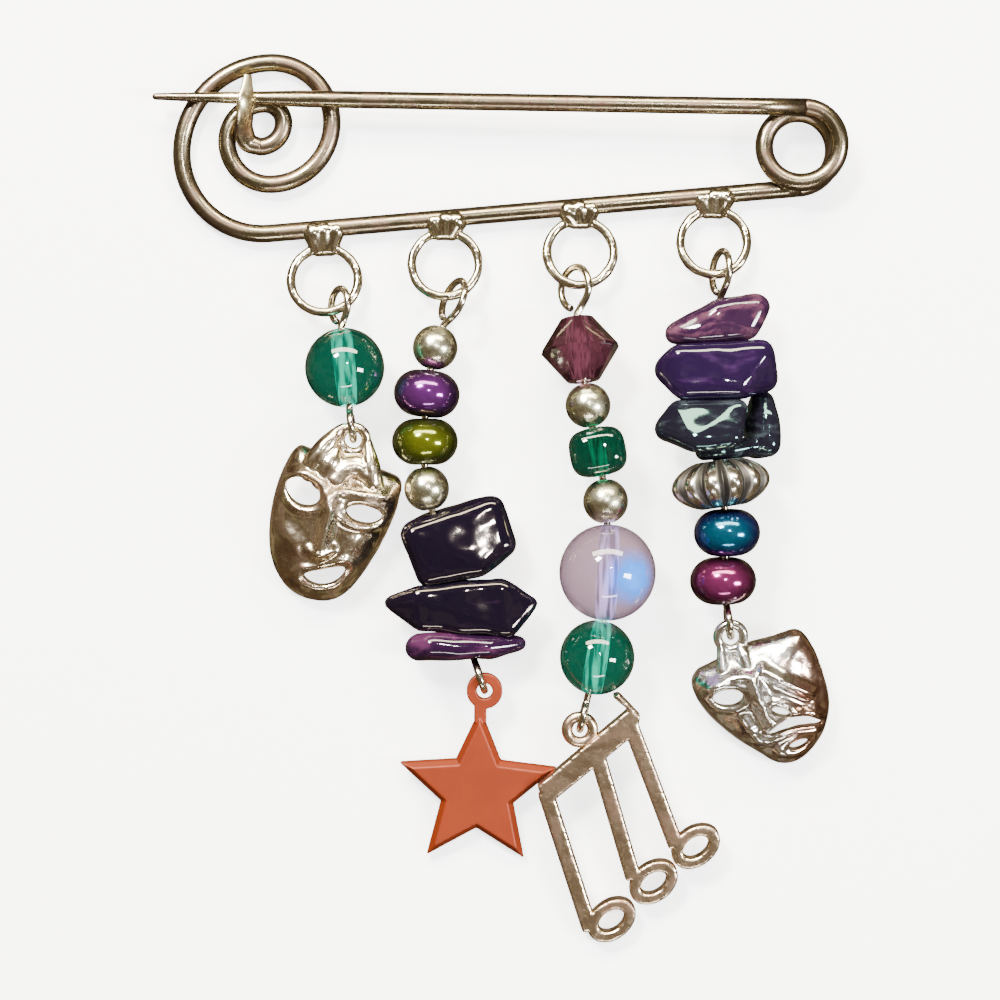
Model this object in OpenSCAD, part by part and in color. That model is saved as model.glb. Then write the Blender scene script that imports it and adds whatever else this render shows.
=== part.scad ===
// Safety pin brooch of one coiled wire with four bead drops and cast charms.
// It lies on a surface: +X to the right along the pin, +Y from the drops to the pin, +Z up.
// The origin is on the surface, under the middle of the brooch.

/* [Pin wire] */
// Diameter of the one thick wire
wire_d = 1.5; // [1.2:0.05:1.7]
// Middle of the spring coil, to the right of the origin
coil_x = 25.3; // [24:0.1:27]
// Middle of the spring coil, above the origin
coil_y = 29.4; // [28:0.1:30]
// Centreline radius of the spring coil
coil_r = 3.03; // [2.6:0.01:3.4]
// Gap between neighbouring turns of the coil
coil_gap = 0.03; // [0.02:0.01:0.2]
// How far the rear turn sits to the left of the front one
coil_shift_x = 0.4; // [0:0.05:0.8]
// How far the rear turn sits below the front one
coil_shift_y = 0.45; // [0:0.05:1]
// Slope of the lower bar, down to the left
bar_slope = 4.9; // [3:0.1:6]
// Straight length of the lower bar
bar_len = 44.7; // [42:0.1:48]

/* [Stem] */
// Length of the stem from the coil to its tip
stem_len = 54.4; // [52:0.1:58]
// Slope of the stem, up to the left
stem_slope = 1.06; // [0.5:0.02:1.6]
// Length of the root, which narrows from the coil's width
root_len = 4.6; // [3:0.1:6]
// Diameter of the drawn straight stretch
stem_d = 1.44; // [1.3:0.02:1.48]
// Length of the straight stretch
straight_len = 33.6; // [30:0.1:35]
// Length of the tapered point
taper_len = 12.5; // [10:0.1:14]
// Diameter of the blunt tip
tip_d = 0.55; // [0.3:0.05:0.8]
// Height of the stem's middle above the flat spiral's middle, where they cross
stem_lift = 1.6; // [1.55:0.05:2]
// Gap where one length of the wire is parted between the rigid and the springing pieces
part_gap = 0.08; // [0.06:0.01:0.15]

/* [Catch hook] */
// Width of the flattened hook
hook_w = 1.85; // [1.5:0.05:2.2]
// Thickness of the flattened hook
hook_t = 0.75; // [0.6:0.05:1]
// Gap between the stem and the hook above it
hook_gap = 0.15; // [0.1:0.05:0.4]

/* [Soldered rings] */
// Outer diameter of a ring
ring_od = 6.3; // [5.8:0.1:6.8]
// Diameter of the ring's wire
ring_wire_d = 0.7; // [0.6:0.05:0.8]
// How far the rings tip up off the surface, in degrees
ring_tilt = 12; // [8:1:16]

/* [Eye pins] */
// Diameter of the eye pins' wire
pin_wire_d = 0.6; // [0.5:0.05:0.65]
// Play between an eye pin's wire and the hole of a bead
bead_play = 0.3; // [0.25:0.05:0.4]
// Radius of a lower eye, at the middle of its wire
low_eye_r = 1.15; // [1.1:0.05:1.3]

/* [Beads] */
// Diameter of the clear green bead on the first drop
green_bead_d = 6.6; // [6:0.1:6.8]
// Diameter of the round silver beads
silver_bead_d = 3.75; // [3.5:0.05:3.8]
// Diameter of a seed bead
seed_d = 5.5; // [5:0.1:5.8]
// Length of a seed bead along its hole
seed_len = 3.85; // [3.5:0.05:3.85]
// Diameter of the faceted bicone at its girdle
bicone_d = 6.5; // [6:0.1:6.8]
// Length of the bicone
bicone_len = 5.3; // [5:0.1:5.4]
// Width of the dark green cube bead
cube_w = 4.7; // [4.4:0.1:4.9]
// Length of the cube bead along its hole
cube_len = 4.0; // [3.7:0.05:4.05]
// Diameter of the lavender bead
lavender_d = 8; // [7.5:0.1:8.2]
// Diameter of the round green bead on the third drop
teal_bead_d = 6.2; // [5.8:0.1:6.3]
// Diameter of the fluted rondelle
rondelle_d = 8.3; // [7.8:0.1:8.6]
// Length of the rondelle
rondelle_len = 3.9; // [3.6:0.1:4]
// Number of flutes round the rondelle
flutes = 12; // [8:1:14]

/* [Charms] */
// Distance from the middle of the star to a tip
star_r = 6.9; // [6.6:0.05:7.1]
// Thickness of the star
star_t = 1.3; // [1.1:0.05:1.6]
// Thickness of the music notes
notes_t = 1.3; // [1.1:0.05:1.6]
// Width of a note's stem
note_stem_w = 1.15; // [1:0.05:1.3]
// Wall of the cast masks
mask_wall = 0.8; // [0.6:0.05:1]
// Height of the smiling mask's dome
smile_dome = 3.6; // [3:0.1:4]
// Height of the frowning mask's dome
frown_dome = 3.3; // [3:0.1:4]
// Diameter of the wire round a charm's hanging hole
bail_wire_d = 0.8; // [0.7:0.05:0.85]

/* [Hidden] */

wire_r = wire_d / 2;
ring_r = (ring_od - ring_wire_d) / 2;
pin_wire_r = pin_wire_d / 2;
bore_d = pin_wire_d + 2 * bead_play;
wire_sides = 10;
link_sides = 6;

// Radii of the flat spiral's quarter turns, from the bar inwards
spiral_quarters = [6.75, 7.6, 5.0, 5.2, 3.6, 3.15, 1.6, 2.0];

// Each drop's upper eye, beads and lower eye: across and along from the middle of its ring, and up
// from the surface
drop1_places = [
    [1.3, -2.16, 2.08], [1.8, -7.41, 3.35], [2.4, -12.26, 3.9]
];
drop2_places = [
    [0.7, -3.08, 2.4], [-0.8, -7.03, 2.6], [-1.5, -10.88, 2.85], [-1.65, -14.88, 2.9], [-1.5, -18.78, 2.8],
    [-0.1, -23.68, 2.7], [1.1, -28.28, 2.6], [2.15, -32.13, 2.45], [2.95, -34.53, 2.3]
];
drop3_places = [
    [-0.45, -3, 2.2], [-0.05, -8.2, 3.3], [0.6, -12.85, 3.6], [1.4, -16.7, 3.8], [2.05, -20.8, 3.95],
    [2.2, -26.7, 4.1], [1.36, -33.75, 3.68], [0.2, -38.65, 3.1]
];
drop4_places = [
    [0.5, -2.56, 2.4], [0.4, -6.41, 3], [0.1, -10.81, 3.4], [-0.4, -15.11, 3.8], [-0.1, -17.56, 3.95],
    [0.35, -20.21, 4.2], [0.9, -24.26, 4], [0.6, -28.26, 3.7], [1.1, -31.76, 3.35]
];
// Radius and lean in degrees of each drop's upper eye
upper_eyes = [[1.4, 57], [1.75, 64], [1.75, 50], [1.75, 70]];

// Vectors

function unit(v) = v / norm(v);
function dot(a, b) = a * b;
function mix(a, b, t) = a + (b - a) * t;
function smooth(t) = t * t * (3 - 2 * t);

// A smooth curve through four points, between the second and the third
function spline_at(a, b, c, d, t) =
    0.5 * ((2 * b) + (c - a) * t + (2 * a - 5 * b + 4 * c - d) * t * t
        + (3 * b - a - 3 * c + d) * t * t * t);

// An open curve through all points, with n steps between neighbours
function open_curve(p, n) = concat(
    [for (i = [0 : len(p) - 2], k = [0 : n - 1])
        spline_at(p[max(i - 1, 0)], p[i], p[i + 1], p[min(i + 2, len(p) - 1)], k / n)],
    [p[len(p) - 1]]
);

// A closed curve through all points
function closed_curve(p, n) = [
    for (i = [0 : len(p) - 1], k = [0 : n - 1])
        spline_at(p[(i + len(p) - 1) % len(p)], p[i], p[(i + 1) % len(p)], p[(i + 2) % len(p)], k / n)
];

// Direction of a path at each point, and a side direction carried along it without twist
function headings(p) = [
    for (i = [0 : len(p) - 1]) unit(p[min(i + 1, len(p) - 1)] - p[max(i - 1, 0)])
];
function square_to(n, t) = unit(n - dot(n, t) * t);
function carried(ts, n, i = 0) =
    i >= len(ts) ? [] : let (m = square_to(n, ts[i])) concat([m], carried(ts, m, i + 1));

// A closed tube along a path; sizes gives its half width and half thickness at each point
module tube(p, sizes, sides, first_side) {
    ts = headings(p);
    ns = carried(ts, first_side);
    rings = [
        for (i = [0 : len(p) - 1])
            let (b = cross(ts[i], ns[i]))
            for (k = [0 : sides - 1])
                let (a = 360 * (k + 0.5) / sides)
                p[i] + sizes[i][0] * cos(a) * b + sizes[i][1] * sin(a) * ns[i]
    ];
    n = len(p);
    walls = [
        for (i = [0 : n - 2], k = [0 : sides - 1])
            let (a = i * sides + k, b = i * sides + (k + 1) % sides)
            each [[a, b, b + sides], [a, b + sides, a + sides]]
    ];
    first_cap = [[for (k = [0 : sides - 1]) sides - 1 - k]];
    last_cap = [[for (k = [0 : sides - 1]) (n - 1) * sides + k]];
    polyhedron(points = rings, faces = concat(walls, first_cap, last_cap), convexity = 8);
}

// One radius for a whole path
function even(p, r) = [for (q = p) [r, r]];

// Turns the Z axis along a direction
module along(d) {
    rotate([0, acos(d[2] / norm(d)), atan2(d[1], d[0])]) children();
}

// Pin wire

rear_centre = [coil_x - coil_shift_x, coil_y - coil_shift_y];
front_centre = [coil_x, coil_y];
coil_from = bar_slope - 90;
coil_to = 450 - stem_slope;
coil_pitch = wire_d + coil_gap;
coil_steps = 42;
coil_part = 360 * part_gap / (2 * PI * coil_r);

function coil_point(a) =
    let (t = (a - coil_from) / (coil_to - coil_from), c = mix(rear_centre, front_centre, smooth(t)))
    [
        c[0] + coil_r * cos(a), c[1] + coil_r * sin(a),
        wire_r + coil_pitch * (a - coil_from) / 360
    ];

bar_start = coil_point(coil_from);
bar_way = [-cos(bar_slope), -sin(bar_slope), 0];
bar_end = bar_start + bar_len * bar_way;
function bar_at(x) = bar_start + bar_way * (bar_start[0] - x) / cos(bar_slope);

// Where the n-th quarter turn of the spiral starts, and its heading there
function quarter_heading(n) = n == 0 ? 180 + bar_slope : 180 - 90 * n;
function quarter_centre(n, start) =
    start + spiral_quarters[n] * [sin(quarter_heading(n)), -cos(quarter_heading(n)), 0];
function quarter_point(n, start, share) =
    let (h = quarter_heading(n), turn = n == 0 ? 90 + bar_slope : 90, a = h + 90 - turn * share)
    quarter_centre(n, start) + spiral_quarters[n] * [cos(a), sin(a), 0];
function quarter_start(n) =
    n == 0 ? bar_end : quarter_point(n - 1, quarter_start(n - 1), 1);
quarter_steps = 6;
spiral_path = [
    for (n = [0 : len(spiral_quarters) - 1], k = [1 : quarter_steps])
        quarter_point(n, quarter_start(n), k / quarter_steps)
];
spiral_end = quarter_start(len(spiral_quarters));

// Stem line
stem_start = coil_point(coil_to);
cross_x = spiral_quarters[1] + spiral_quarters[2] + bar_end[0] - spiral_quarters[0];
stem_run = stem_start[0] - cross_x;
stem_drop = (stem_start[2] - wire_r - stem_lift) / stem_run;
stem_way = unit([-cos(stem_slope), sin(stem_slope), -stem_drop]);
function stem_at(x) = stem_start + stem_way * (stem_start[0] - x) / -stem_way[0];

// Hook: it rises off the spiral's inner end, bends forward and passes over the stem
over_stem = stem_at(spiral_end[0] - 0.9);
hook_top = over_stem[2] + wire_r + hook_gap + hook_t / 2;
hook_path = open_curve([
    spiral_end,
    spiral_end + [-0.95, 0.35, 0.35],
    spiral_end + [-1.25, 1.25, 1.25],
    [spiral_end[0] - 1.1, over_stem[1] - 1.75, hook_top - 0.6],
    [spiral_end[0] - 0.95, over_stem[1] - 0.75, hook_top],
    [spiral_end[0] - 0.85, over_stem[1] + 0.4, hook_top + 0.02],
    [spiral_end[0] - 0.8, over_stem[1] + 1.75, hook_top - 0.08]
], 3);
function hook_size(t) =
    t < 0.55 ? [mix(wire_r, hook_w / 2, smooth(t / 0.55)), mix(wire_r, hook_t / 2, smooth(t / 0.55))]
    : [mix(hook_w / 2, 0.42, smooth((t - 0.55) / 0.45)), mix(hook_t / 2, 0.3, (t - 0.55) / 0.45)];

frame_path = concat([bar_start + part_gap * bar_way, bar_end], spiral_path,
    [for (i = [1 : len(hook_path) - 1]) hook_path[i]]);
frame_sizes = concat(
    [for (i = [0 : len(spiral_path) + 1]) [wire_r, wire_r]],
    [for (i = [1 : len(hook_path) - 1]) hook_size(i / (len(hook_path) - 1))]
);

// Rings: where each hangs along the bar, and its middle below the bar
ring_places = [[-14.7, 4.35], [-4.6, 3.9], [6.7, 3.9], [17.9, 4.0]];
ring_rise = ring_r * sin(ring_tilt);
solder_r = wire_r + 0.08;
solder_lift = 0.14;
solder_sides = 8;
function ring_centre(i) =
    bar_at(ring_places[i][0]) + [0, -ring_places[i][1], ring_rise];

// A drop's route in the brooch's frame
function route_from(i, places) = [for (q = places) [ring_centre(i)[0] + q[0], ring_centre(i)[1] + q[1], q[2]]];
drop1_route = route_from(0, drop1_places);
drop2_route = route_from(1, drop2_places);
drop3_route = route_from(2, drop3_places);
drop4_route = route_from(3, drop4_places);

module soldered_ring(i) {
    c = ring_centre(i);
    translate(c) rotate([-ring_tilt, 0, 0])
        rotate_extrude($fn = 20) translate([ring_r, 0]) circle(d = ring_wire_d, $fn = link_sides);
    // Solder on both sides of the ring's top, run out along the bar
    for (side = [-1, 1]) hull() {
        translate(bar_at(c[0] + side * 0.9) + [0, 0.05, solder_lift]) sphere(r = solder_r, $fn = solder_sides);
        translate(c + [side * 0.45, ring_r * cos(ring_tilt) - 0.1, -ring_rise])
            sphere(r = 0.62, $fn = solder_sides);
    }
}

module frame_wire() {
    color([0.80, 0.77, 0.72]) union() {
        tube(frame_path, frame_sizes, wire_sides, [0, 0, 1]);
        for (i = [0 : len(ring_places) - 1]) soldered_ring(i);
    }
}

module spring_coil() {
    a0 = coil_from + coil_part;
    a1 = coil_to - coil_part;
    path = [for (k = [0 : coil_steps]) coil_point(mix(a0, a1, k / coil_steps))];
    color([0.80, 0.77, 0.72]) tube(path, even(path, wire_r), wire_sides, [0, 0, 1]);
}

module pin_stem() {
    tip_r = tip_d / 2;
    straight_end = root_len + straight_len;
    color([0.82, 0.79, 0.75]) translate(stem_start) along(stem_way) rotate_extrude()
        union() {
            polygon([[0, part_gap], [wire_r, part_gap], [stem_d / 2, root_len], [0, root_len]]);
            translate([0, root_len]) square([stem_d / 2, straight_len]);
            polygon([
                [0, straight_end], [stem_d / 2, straight_end], [stem_d / 2 * 0.97, stem_len - taper_len],
                [tip_r, stem_len - tip_r], [0, stem_len - tip_r]
            ]);
            intersection() {
                translate([0, stem_len - tip_r]) circle(r = tip_r, $fn = 24);
                translate([0, stem_len - tip_r]) square([tip_r, tip_r]);
            }
        }
}

// Eye pins

// An eye: from its neck round to just short of the neck, in the plane of the two directions
function eye_loop(c, up, side, r) =
    let (stop = 180 + acos((pin_wire_d + 0.1) / r))
    [for (k = [0 : 14]) let (a = mix(-50, stop, k / 14)) c + r * cos(a) * side + r * sin(a) * up];

function eye_side(up, lean) =
    let (flat = unit(cross(up, [0, 0, 1])), high = cross(flat, up))
    cos(lean) * flat + sin(lean) * high;

function backwards(p) = [for (i = [len(p) - 1 : -1 : 0]) p[i]];

module eye_pin(route, upper, low_r) {
    n = len(route);
    up = unit(route[0] - route[1]);
    down = unit(route[n - 1] - route[n - 2]);
    top = eye_loop(route[0], up, eye_side(up, upper[1]), upper[0]);
    low = eye_loop(route[n - 1], down, eye_side(down, 90), low_r);
    neck_top = route[0] - (upper[0] + 0.45) * up;
    neck_low = route[n - 1] - (low_r + 0.45) * down;
    shaft = open_curve(concat([neck_top], [for (i = [1 : n - 2]) route[i]], [neck_low]), 3);
    path = concat(backwards(top), shaft, low);
    color([0.82, 0.79, 0.73]) tube(path, even(path, pin_wire_r), link_sides, unit(up + [0.3, 0.2, 0.9]));
}

// Beads

// Places a bead on a route and turns its hole along the wire there
module on_route(route, i) {
    translate(route[i]) along(route[i + 1] - route[i - 1]) children();
}

module round_bead(d) {
    difference() {
        sphere(d = d, $fn = 48);
        cylinder(h = d + 1, d = bore_d, center = true, $fn = 24);
    }
}

module seed_bead() {
    fat_r = seed_len / 2;
    rotate_extrude($fn = 48) intersection() {
        translate([seed_d / 2 - fat_r, 0]) circle(r = fat_r, $fn = 48);
        translate([bore_d / 2, -fat_r]) square([seed_d, seed_len]);
    }
}

module bicone() {
    difference() {
        union() {
            cylinder(h = bicone_len / 2, d1 = bicone_d, d2 = bicone_d * 0.42, $fn = 12);
            rotate([180, 0, 15]) cylinder(h = bicone_len / 2, d1 = bicone_d, d2 = bicone_d * 0.42, $fn = 12);
        }
        cylinder(h = bicone_len + 1, d = bore_d, center = true, $fn = 24);
    }
}

module cube_bead() {
    difference() {
        intersection() {
            cube([cube_w, cube_w, cube_len], center = true);
            sphere(d = cube_w * 1.38, $fn = 48);
        }
        cylinder(h = cube_len + 1, d = bore_d, center = true, $fn = 24);
    }
}

// Fluted bead: a flattened ball whose radius swells and shrinks round its hole
module fluted_bead() {
    around = flutes * 4;
    rows = [-1, -0.78, -0.45, 0, 0.45, 0.78, 1];
    hole_r = bore_d / 2;
    function reach(t, a) =
        let (bulge = mix(0.44, 1, pow(max(1 - t * t, 0), 0.55)))
        rondelle_d / 2 * bulge * (1 - 0.11 * (1 - abs(sin(flutes * a / 2))) * bulge);
    pts = concat(
        [for (t = rows, k = [0 : around - 1]) let (a = 360 * k / around, r = reach(t, a))
            [r * cos(a), r * sin(a), t * rondelle_len / 2]],
        [for (t = [1, -1], k = [0 : around - 1]) let (a = 360 * k / around)
            [hole_r * cos(a), hole_r * sin(a), t * rondelle_len / 2]]
    );
    n = len(rows) + 2;
    faces = [
        for (i = [0 : n - 1], k = [0 : around - 1])
            let (a = i * around + k, b = i * around + (k + 1) % around,
                c = ((i + 1) % n) * around + k, d = ((i + 1) % n) * around + (k + 1) % around)
            each [[a, d, b], [a, c, d]]
    ];
    polyhedron(points = pts, faces = faces, convexity = 6);
}

// A tumbled stone chip: lumps [x, y, z, r] about the wire, wrapped and drilled. The tongue is
// a second wrap, for a chip whose drilled part sticks out of its body
module wrapped(lumps) {
    hull() for (q = lumps) translate([q[0], q[1], q[2]]) sphere(r = q[3], $fn = 10);
}
module chip(route, i, lumps, tongue = []) {
    way = route[i + 1] - route[i - 1];
    difference() {
        translate(route[i]) union() {
            wrapped(lumps);
            if (len(tongue) > 0) wrapped(tongue);
        }
        translate(route[i]) along(way) cylinder(h = 14, d = bore_d, center = true, $fn = 24);
    }
}

chip2_top = [
    [-2.4, 1.1, 0.6, 1.0], [-1.3, -2.25, 0.5, 0.8], [4.0, 3.3, 0.2, 0.9], [4.8, 0.3, 0.3, 1.1],
    [2.9, -1.45, 0.9, 0.85], [-1.2, 1.9, -0.8, 0.8], [3.4, 0.4, -1.4, 0.9], [-1.0, 0.0, -1.5, 0.9]
];
chip2_mid = [
    [-5.6, 0.0, 0.2, 0.35], [6.2, 0.0, 0.4, 0.35], [-3.2, 0.6, 0.8, 0.7], [3.5, 1.3, 0.6, 0.6],
    [-3.0, -1.5, 0.4, 0.7], [4.2, -2.1, 0.7, 0.6], [2.5, -0.6, -1.5, 0.9], [-2.4, -0.4, -1.6, 0.8]
];
chip2_low = [
    [-4.3, 0.1, 0.0, 0.95], [-3.2, 0.25, 0.9, 0.95], [1.4, 0.2, 0.9, 0.8], [4.1, 0.5, 0.0, 0.4],
    [1.8, 0.15, -1.2, 0.8], [-2.6, 0.15, -1.3, 0.9]
];
chip4_top = [
    [-3.6, -1.3, 0.2, 0.8], [3.0, 0.9, 0.3, 0.95], [2.2, -0.9, 0.6, 0.8], [-1.5, -1.2, 1.0, 0.8],
    [0.0, 0.5, 1.0, 0.85], [1.5, -0.2, -1.8, 0.9], [-2.0, -0.7, -1.6, 0.9]
];
chip4_mid = [
    [-4.0, 0.1, 0.2, 1.05], [-3.1, 1.15, 0.9, 0.9], [3.6, 1.4, 0.7, 0.95], [3.8, -0.6, 0.0, 1.1],
    [-2.6, -1.3, 1.1, 1.05], [1.6, -1.3, 1.4, 1.0], [2.5, 0.0, -1.9, 1.1], [-2.6, 0.0, -2.0, 1.1]
];
chip4_low = [
    [-3.6, -0.5, 0.2, 0.95], [-2.6, 0.8, 0.5, 0.9], [2.1, 1.1, 1.3, 0.65], [1.6, -1.4, 2.0, 0.65],
    [-1.3, -1.6, 2.0, 0.8], [0.2, 0.1, -1.3, 0.8], [-2.0, 0.0, -1.6, 0.9]
];
chip4_side = [
    [4.0, 4.1, -1.6, 0.9], [4.5, 0.6, -0.5, 0.85], [3.4, 0.2, -1.4, 0.6], [4.5, 2.8, -0.6, 0.75],
    [3.2, 2.6, -1.8, 0.6]
];
chip4_tongue = [
    [3.9, 0.5, -0.9, 0.6], [0.3, 0.02, 0.85, 0.52], [0.3, 0.02, -0.8, 0.52],
    [-0.9, 0.02, 0.5, 0.52], [-0.9, 0.02, -0.4, 0.52]
];

// Charms

// A charm hangs by the hole over the far side of the lower eye, and leans down to the surface
function hang_point(route, r) =
    let (n = len(route), d = route[n - 1] - route[n - 2]) route[n - 1] + r * unit([d[0], d[1], 0]);
module hung(route, lean) {
    translate(hang_point(route, low_eye_r)) rotate([lean, 0, 0]) children();
}

bail_hole_r = 0.68;
bail_r = bail_hole_r + bail_wire_d / 2;
module bail() {
    rotate_extrude($fn = 20) translate([bail_r, 0]) circle(d = bail_wire_d, $fn = 8);
}

star_centre = [-0.6, -8.45];
star_neck_w = 1.0;
star_neck_len = 1.6;
star_turn = 88;
star_inner = 0.46;
star_lean = 6.2;
module star_outline() {
    polygon([
        for (k = [0 : 9])
            let (a = star_turn + 36 * k, r = star_r * (k % 2 == 0 ? 1 : star_inner))
            [r * cos(a), r * sin(a)]
    ]);
}
module copper_star() {
    flat = star_t * 0.55;
    color([0.72, 0.36, 0.20]) hung(drop2_route, star_lean) union() {
        translate([star_centre[0], star_centre[1], -star_t / 2]) {
            linear_extrude(flat) star_outline();
            translate([0, 0, flat]) linear_extrude(star_t - flat, scale = 0.84) star_outline();
        }
        difference() {
            translate([0, 0, -bail_wire_d / 2]) union() {
                cylinder(h = bail_wire_d, r = bail_hole_r + bail_wire_d, $fn = 24);
                translate([star_centre[0] + star_r * cos(star_turn) - star_neck_w / 2, -bail_r - star_neck_len, 0])
                    cube([star_neck_w, star_neck_len, bail_wire_d]);
            }
            cylinder(h = 3, r = bail_hole_r, center = true, $fn = 24);
        }
    }
}

// Notes: a beam, three stems and open heads, cut from one plate
note_beam = [[-3.45, -4.75], [4.1, 1.75], [2.75, 2.9], [3.2, 3.05], [4.95, 1.2], [4.6, -0.2], [-2.7, -6.3]];
note_stems = [[[-2.85, -5.3], [0.9, -17.0]], [[1.5, -2.3], [4.5, -12.6]], [[4.25, 0.3], [8.05, -9.8]]];
note_heads = [[2.7, -16.2], [6.2, -12.95], [9.7, -9.9]];
notes_lean = 7.6;
module note_stem(a, b) {
    d = b - a;
    translate(a) rotate(atan2(d[1], d[0])) translate([0, -note_stem_w / 2])
        square([norm(d), note_stem_w]);
}
module note_head(c) {
    translate(c) rotate(38) difference() {
        scale([1, 0.72]) circle(d = 4.3, $fn = 28);
        scale([1, 0.66]) circle(d = 2.6, $fn = 20);
    }
}
module music_notes() {
    color([0.80, 0.74, 0.68]) hung(drop3_route, notes_lean) union() {
        translate([0, 0, -notes_t / 2]) linear_extrude(notes_t) {
            polygon(note_beam);
            for (s = note_stems) note_stem(s[0], s[1]);
            for (c = note_heads) note_head(c);
        }
        bail();
    }
}

// Masks: a domed shell over a free outline, pierced for the eyes and the mouth
smile_outline = [
    [3.85, -3.55], [3.7, -5.35], [2.9, -7.6], [1.4, -10.4], [-0.6, -13.0], [-2.7, -13.85],
    [-5.3, -13.0], [-6.85, -10.6], [-7.1, -7.4], [-6.35, -3.7], [-4.8, -0.8], [-3.3, -1.0],
    [-0.6, -1.9], [2.0, -2.6]
];
frown_outline = [
    [5.6, 0.45], [6.9, -1.0], [7.9, -3.6], [8.35, -6.0], [7.75, -8.6], [6.1, -10.6], [4.25, -11.0],
    [2.25, -9.9], [0.25, -8.6], [-2.0, -6.5], [-3.15, -4.4], [-2.8, -3.1], [-1.6, -2.4],
    [-0.2, -1.6], [1.4, -0.7], [3.5, -0.1]
];

// Height of a long soft ridge between two points
function ridge(q, a, b, wide, high) =
    let (d = b - a, t = min(max(dot(q - a, d) / dot(d, d), 0), 1), s = norm(q - a - t * d) / wide)
    high * exp(-s * s);

module mask_shell(outline, centre, dome, ridges) {
    around = closed_curve(outline, 3);
    count = len(around);
    outer = [0.2, 0.4, 0.6, 0.78, 0.91, 1];
    inner = [0.86, 0.78, 0.6, 0.4, 0.2];
    edge_h = 0.75;
    function lift(q, k) = edge_h + (dome - edge_h) * pow(1 - k * k, 0.62)
        + (k > 0.95 ? 0 : sum_of([for (r = ridges) ridge(q, r[0], r[1], r[2], r[3])]) * (1 - k * k * k));
    pts = concat(
        [[centre[0], centre[1], lift(centre, 0)]],
        [for (k = outer, q = around) let (p = mix(centre, q, k)) [p[0], p[1], lift(p, k)]],
        [for (q = around) [q[0], q[1], 0]],
        [for (k = inner, q = around) let (p = mix(centre, q, k))
            [p[0], p[1], k > 0.85 ? 0 : max(lift(p, k) - mask_wall, 0.12)]],
        [[centre[0], centre[1], lift(centre, 0) - mask_wall]]
    );
    rows = len(outer) + 1 + len(inner);
    last = len(pts) - 1;
    faces = concat(
        [for (i = [0 : count - 1]) [0, 1 + i, 1 + (i + 1) % count]],
        [for (j = [0 : rows - 2], i = [0 : count - 1])
            let (a = 1 + j * count + i, b = 1 + j * count + (i + 1) % count)
            each [[b, a, b + count], [b + count, a, a + count]]],
        [for (i = [0 : count - 1])
            let (a = 1 + (rows - 1) * count + i, b = 1 + (rows - 1) * count + (i + 1) % count)
            [b, a, last]]
    );
    polyhedron(points = pts, faces = faces, convexity = 10);
}
function sum_of(v, i = 0) = i >= len(v) ? 0 : v[i] + sum_of(v, i + 1);

module oval_cut(c, w, h, turn) {
    translate([c[0], c[1], -1]) rotate(turn) linear_extrude(12) scale([1, h / w]) circle(d = w, $fn = 16);
}
// A crescent opening, bent about its own middle
module crescent_cut(c, w, h, turn) {
    translate([c[0], c[1], -1]) rotate(turn) linear_extrude(12) difference() {
        scale([1, h / w]) circle(d = w, $fn = 24);
        translate([0, -h * 0.42]) scale([1, h / w * 0.75]) circle(d = w * 0.8, $fn = 24);
    }
}

// The neck that carries a mask's bail: lumps wrapped one by one from the bail to the face
module neck(points) {
    for (i = [0 : len(points) - 2]) hull() {
        translate([points[i][0], points[i][1], points[i][2]]) sphere(r = points[i][3], $fn = 8);
        translate([points[i + 1][0], points[i + 1][1], points[i + 1][2]])
            sphere(r = points[i + 1][3], $fn = 8);
    }
}

smile_lean = 11.5;
smile_drop = 1.15;
smile_ridges = [
    [[-1.7, -4.6], [-2.6, -9.0], 0.75, 0.9], [[-5.6, -3.0], [-2.6, -3.6], 0.7, 0.45],
    [[-0.9, -4.2], [3.0, -5.0], 0.7, 0.6], [[-4.6, -12.0], [-0.4, -12.2], 0.8, 0.35]
];
smile_neck = [
    [-2.6, -2.3, 1.9, 0.75], [-1.75, -0.9, 1.5, 0.6], [-1.2, 0.35, 1.15, 0.45], [-0.7, 0.95, 1.15, 0.4]
];
smile_neck_right = [
    [1.6, -3.4, 2.0, 0.7], [1.45, -2.2, 1.6, 0.6], [1.1, -0.9, 1.25, 0.45], [0.95, -0.2, 1.15, 0.4]
];
smile_brow = [
    [-5.0, -2.6, 1.7, 0.55], [-3.4, -2.2, 2.3, 0.6], [-1.4, -3.4, 3.0, 0.55], [0.6, -3.9, 2.8, 0.55],
    [2.9, -4.0, 1.6, 0.5]
];
module smiling_mask() {
    color([0.83, 0.81, 0.78]) hung(drop1_route, smile_lean) {
        difference() {
            union() {
                translate([0, 0, -smile_drop]) difference() {
                    union() {
                        mask_shell(smile_outline, [-2.1, -7.4], smile_dome, smile_ridges);
                        neck(smile_brow);
                    }
                    oval_cut([-4.15, -4.1], 3.0, 2.3, -25);
                    oval_cut([0.9, -6.0], 3.0, 1.6, -16);
                    crescent_cut([-2.45, -11.1], 3.6, 2.6, 195);
                }
                translate([0, 0, -smile_drop]) {
                    neck(smile_neck);
                    neck(smile_neck_right);
                }
                bail();
            }
            cylinder(h = 6, r = bail_hole_r, center = true, $fn = 20);
        }
    }
}

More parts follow.
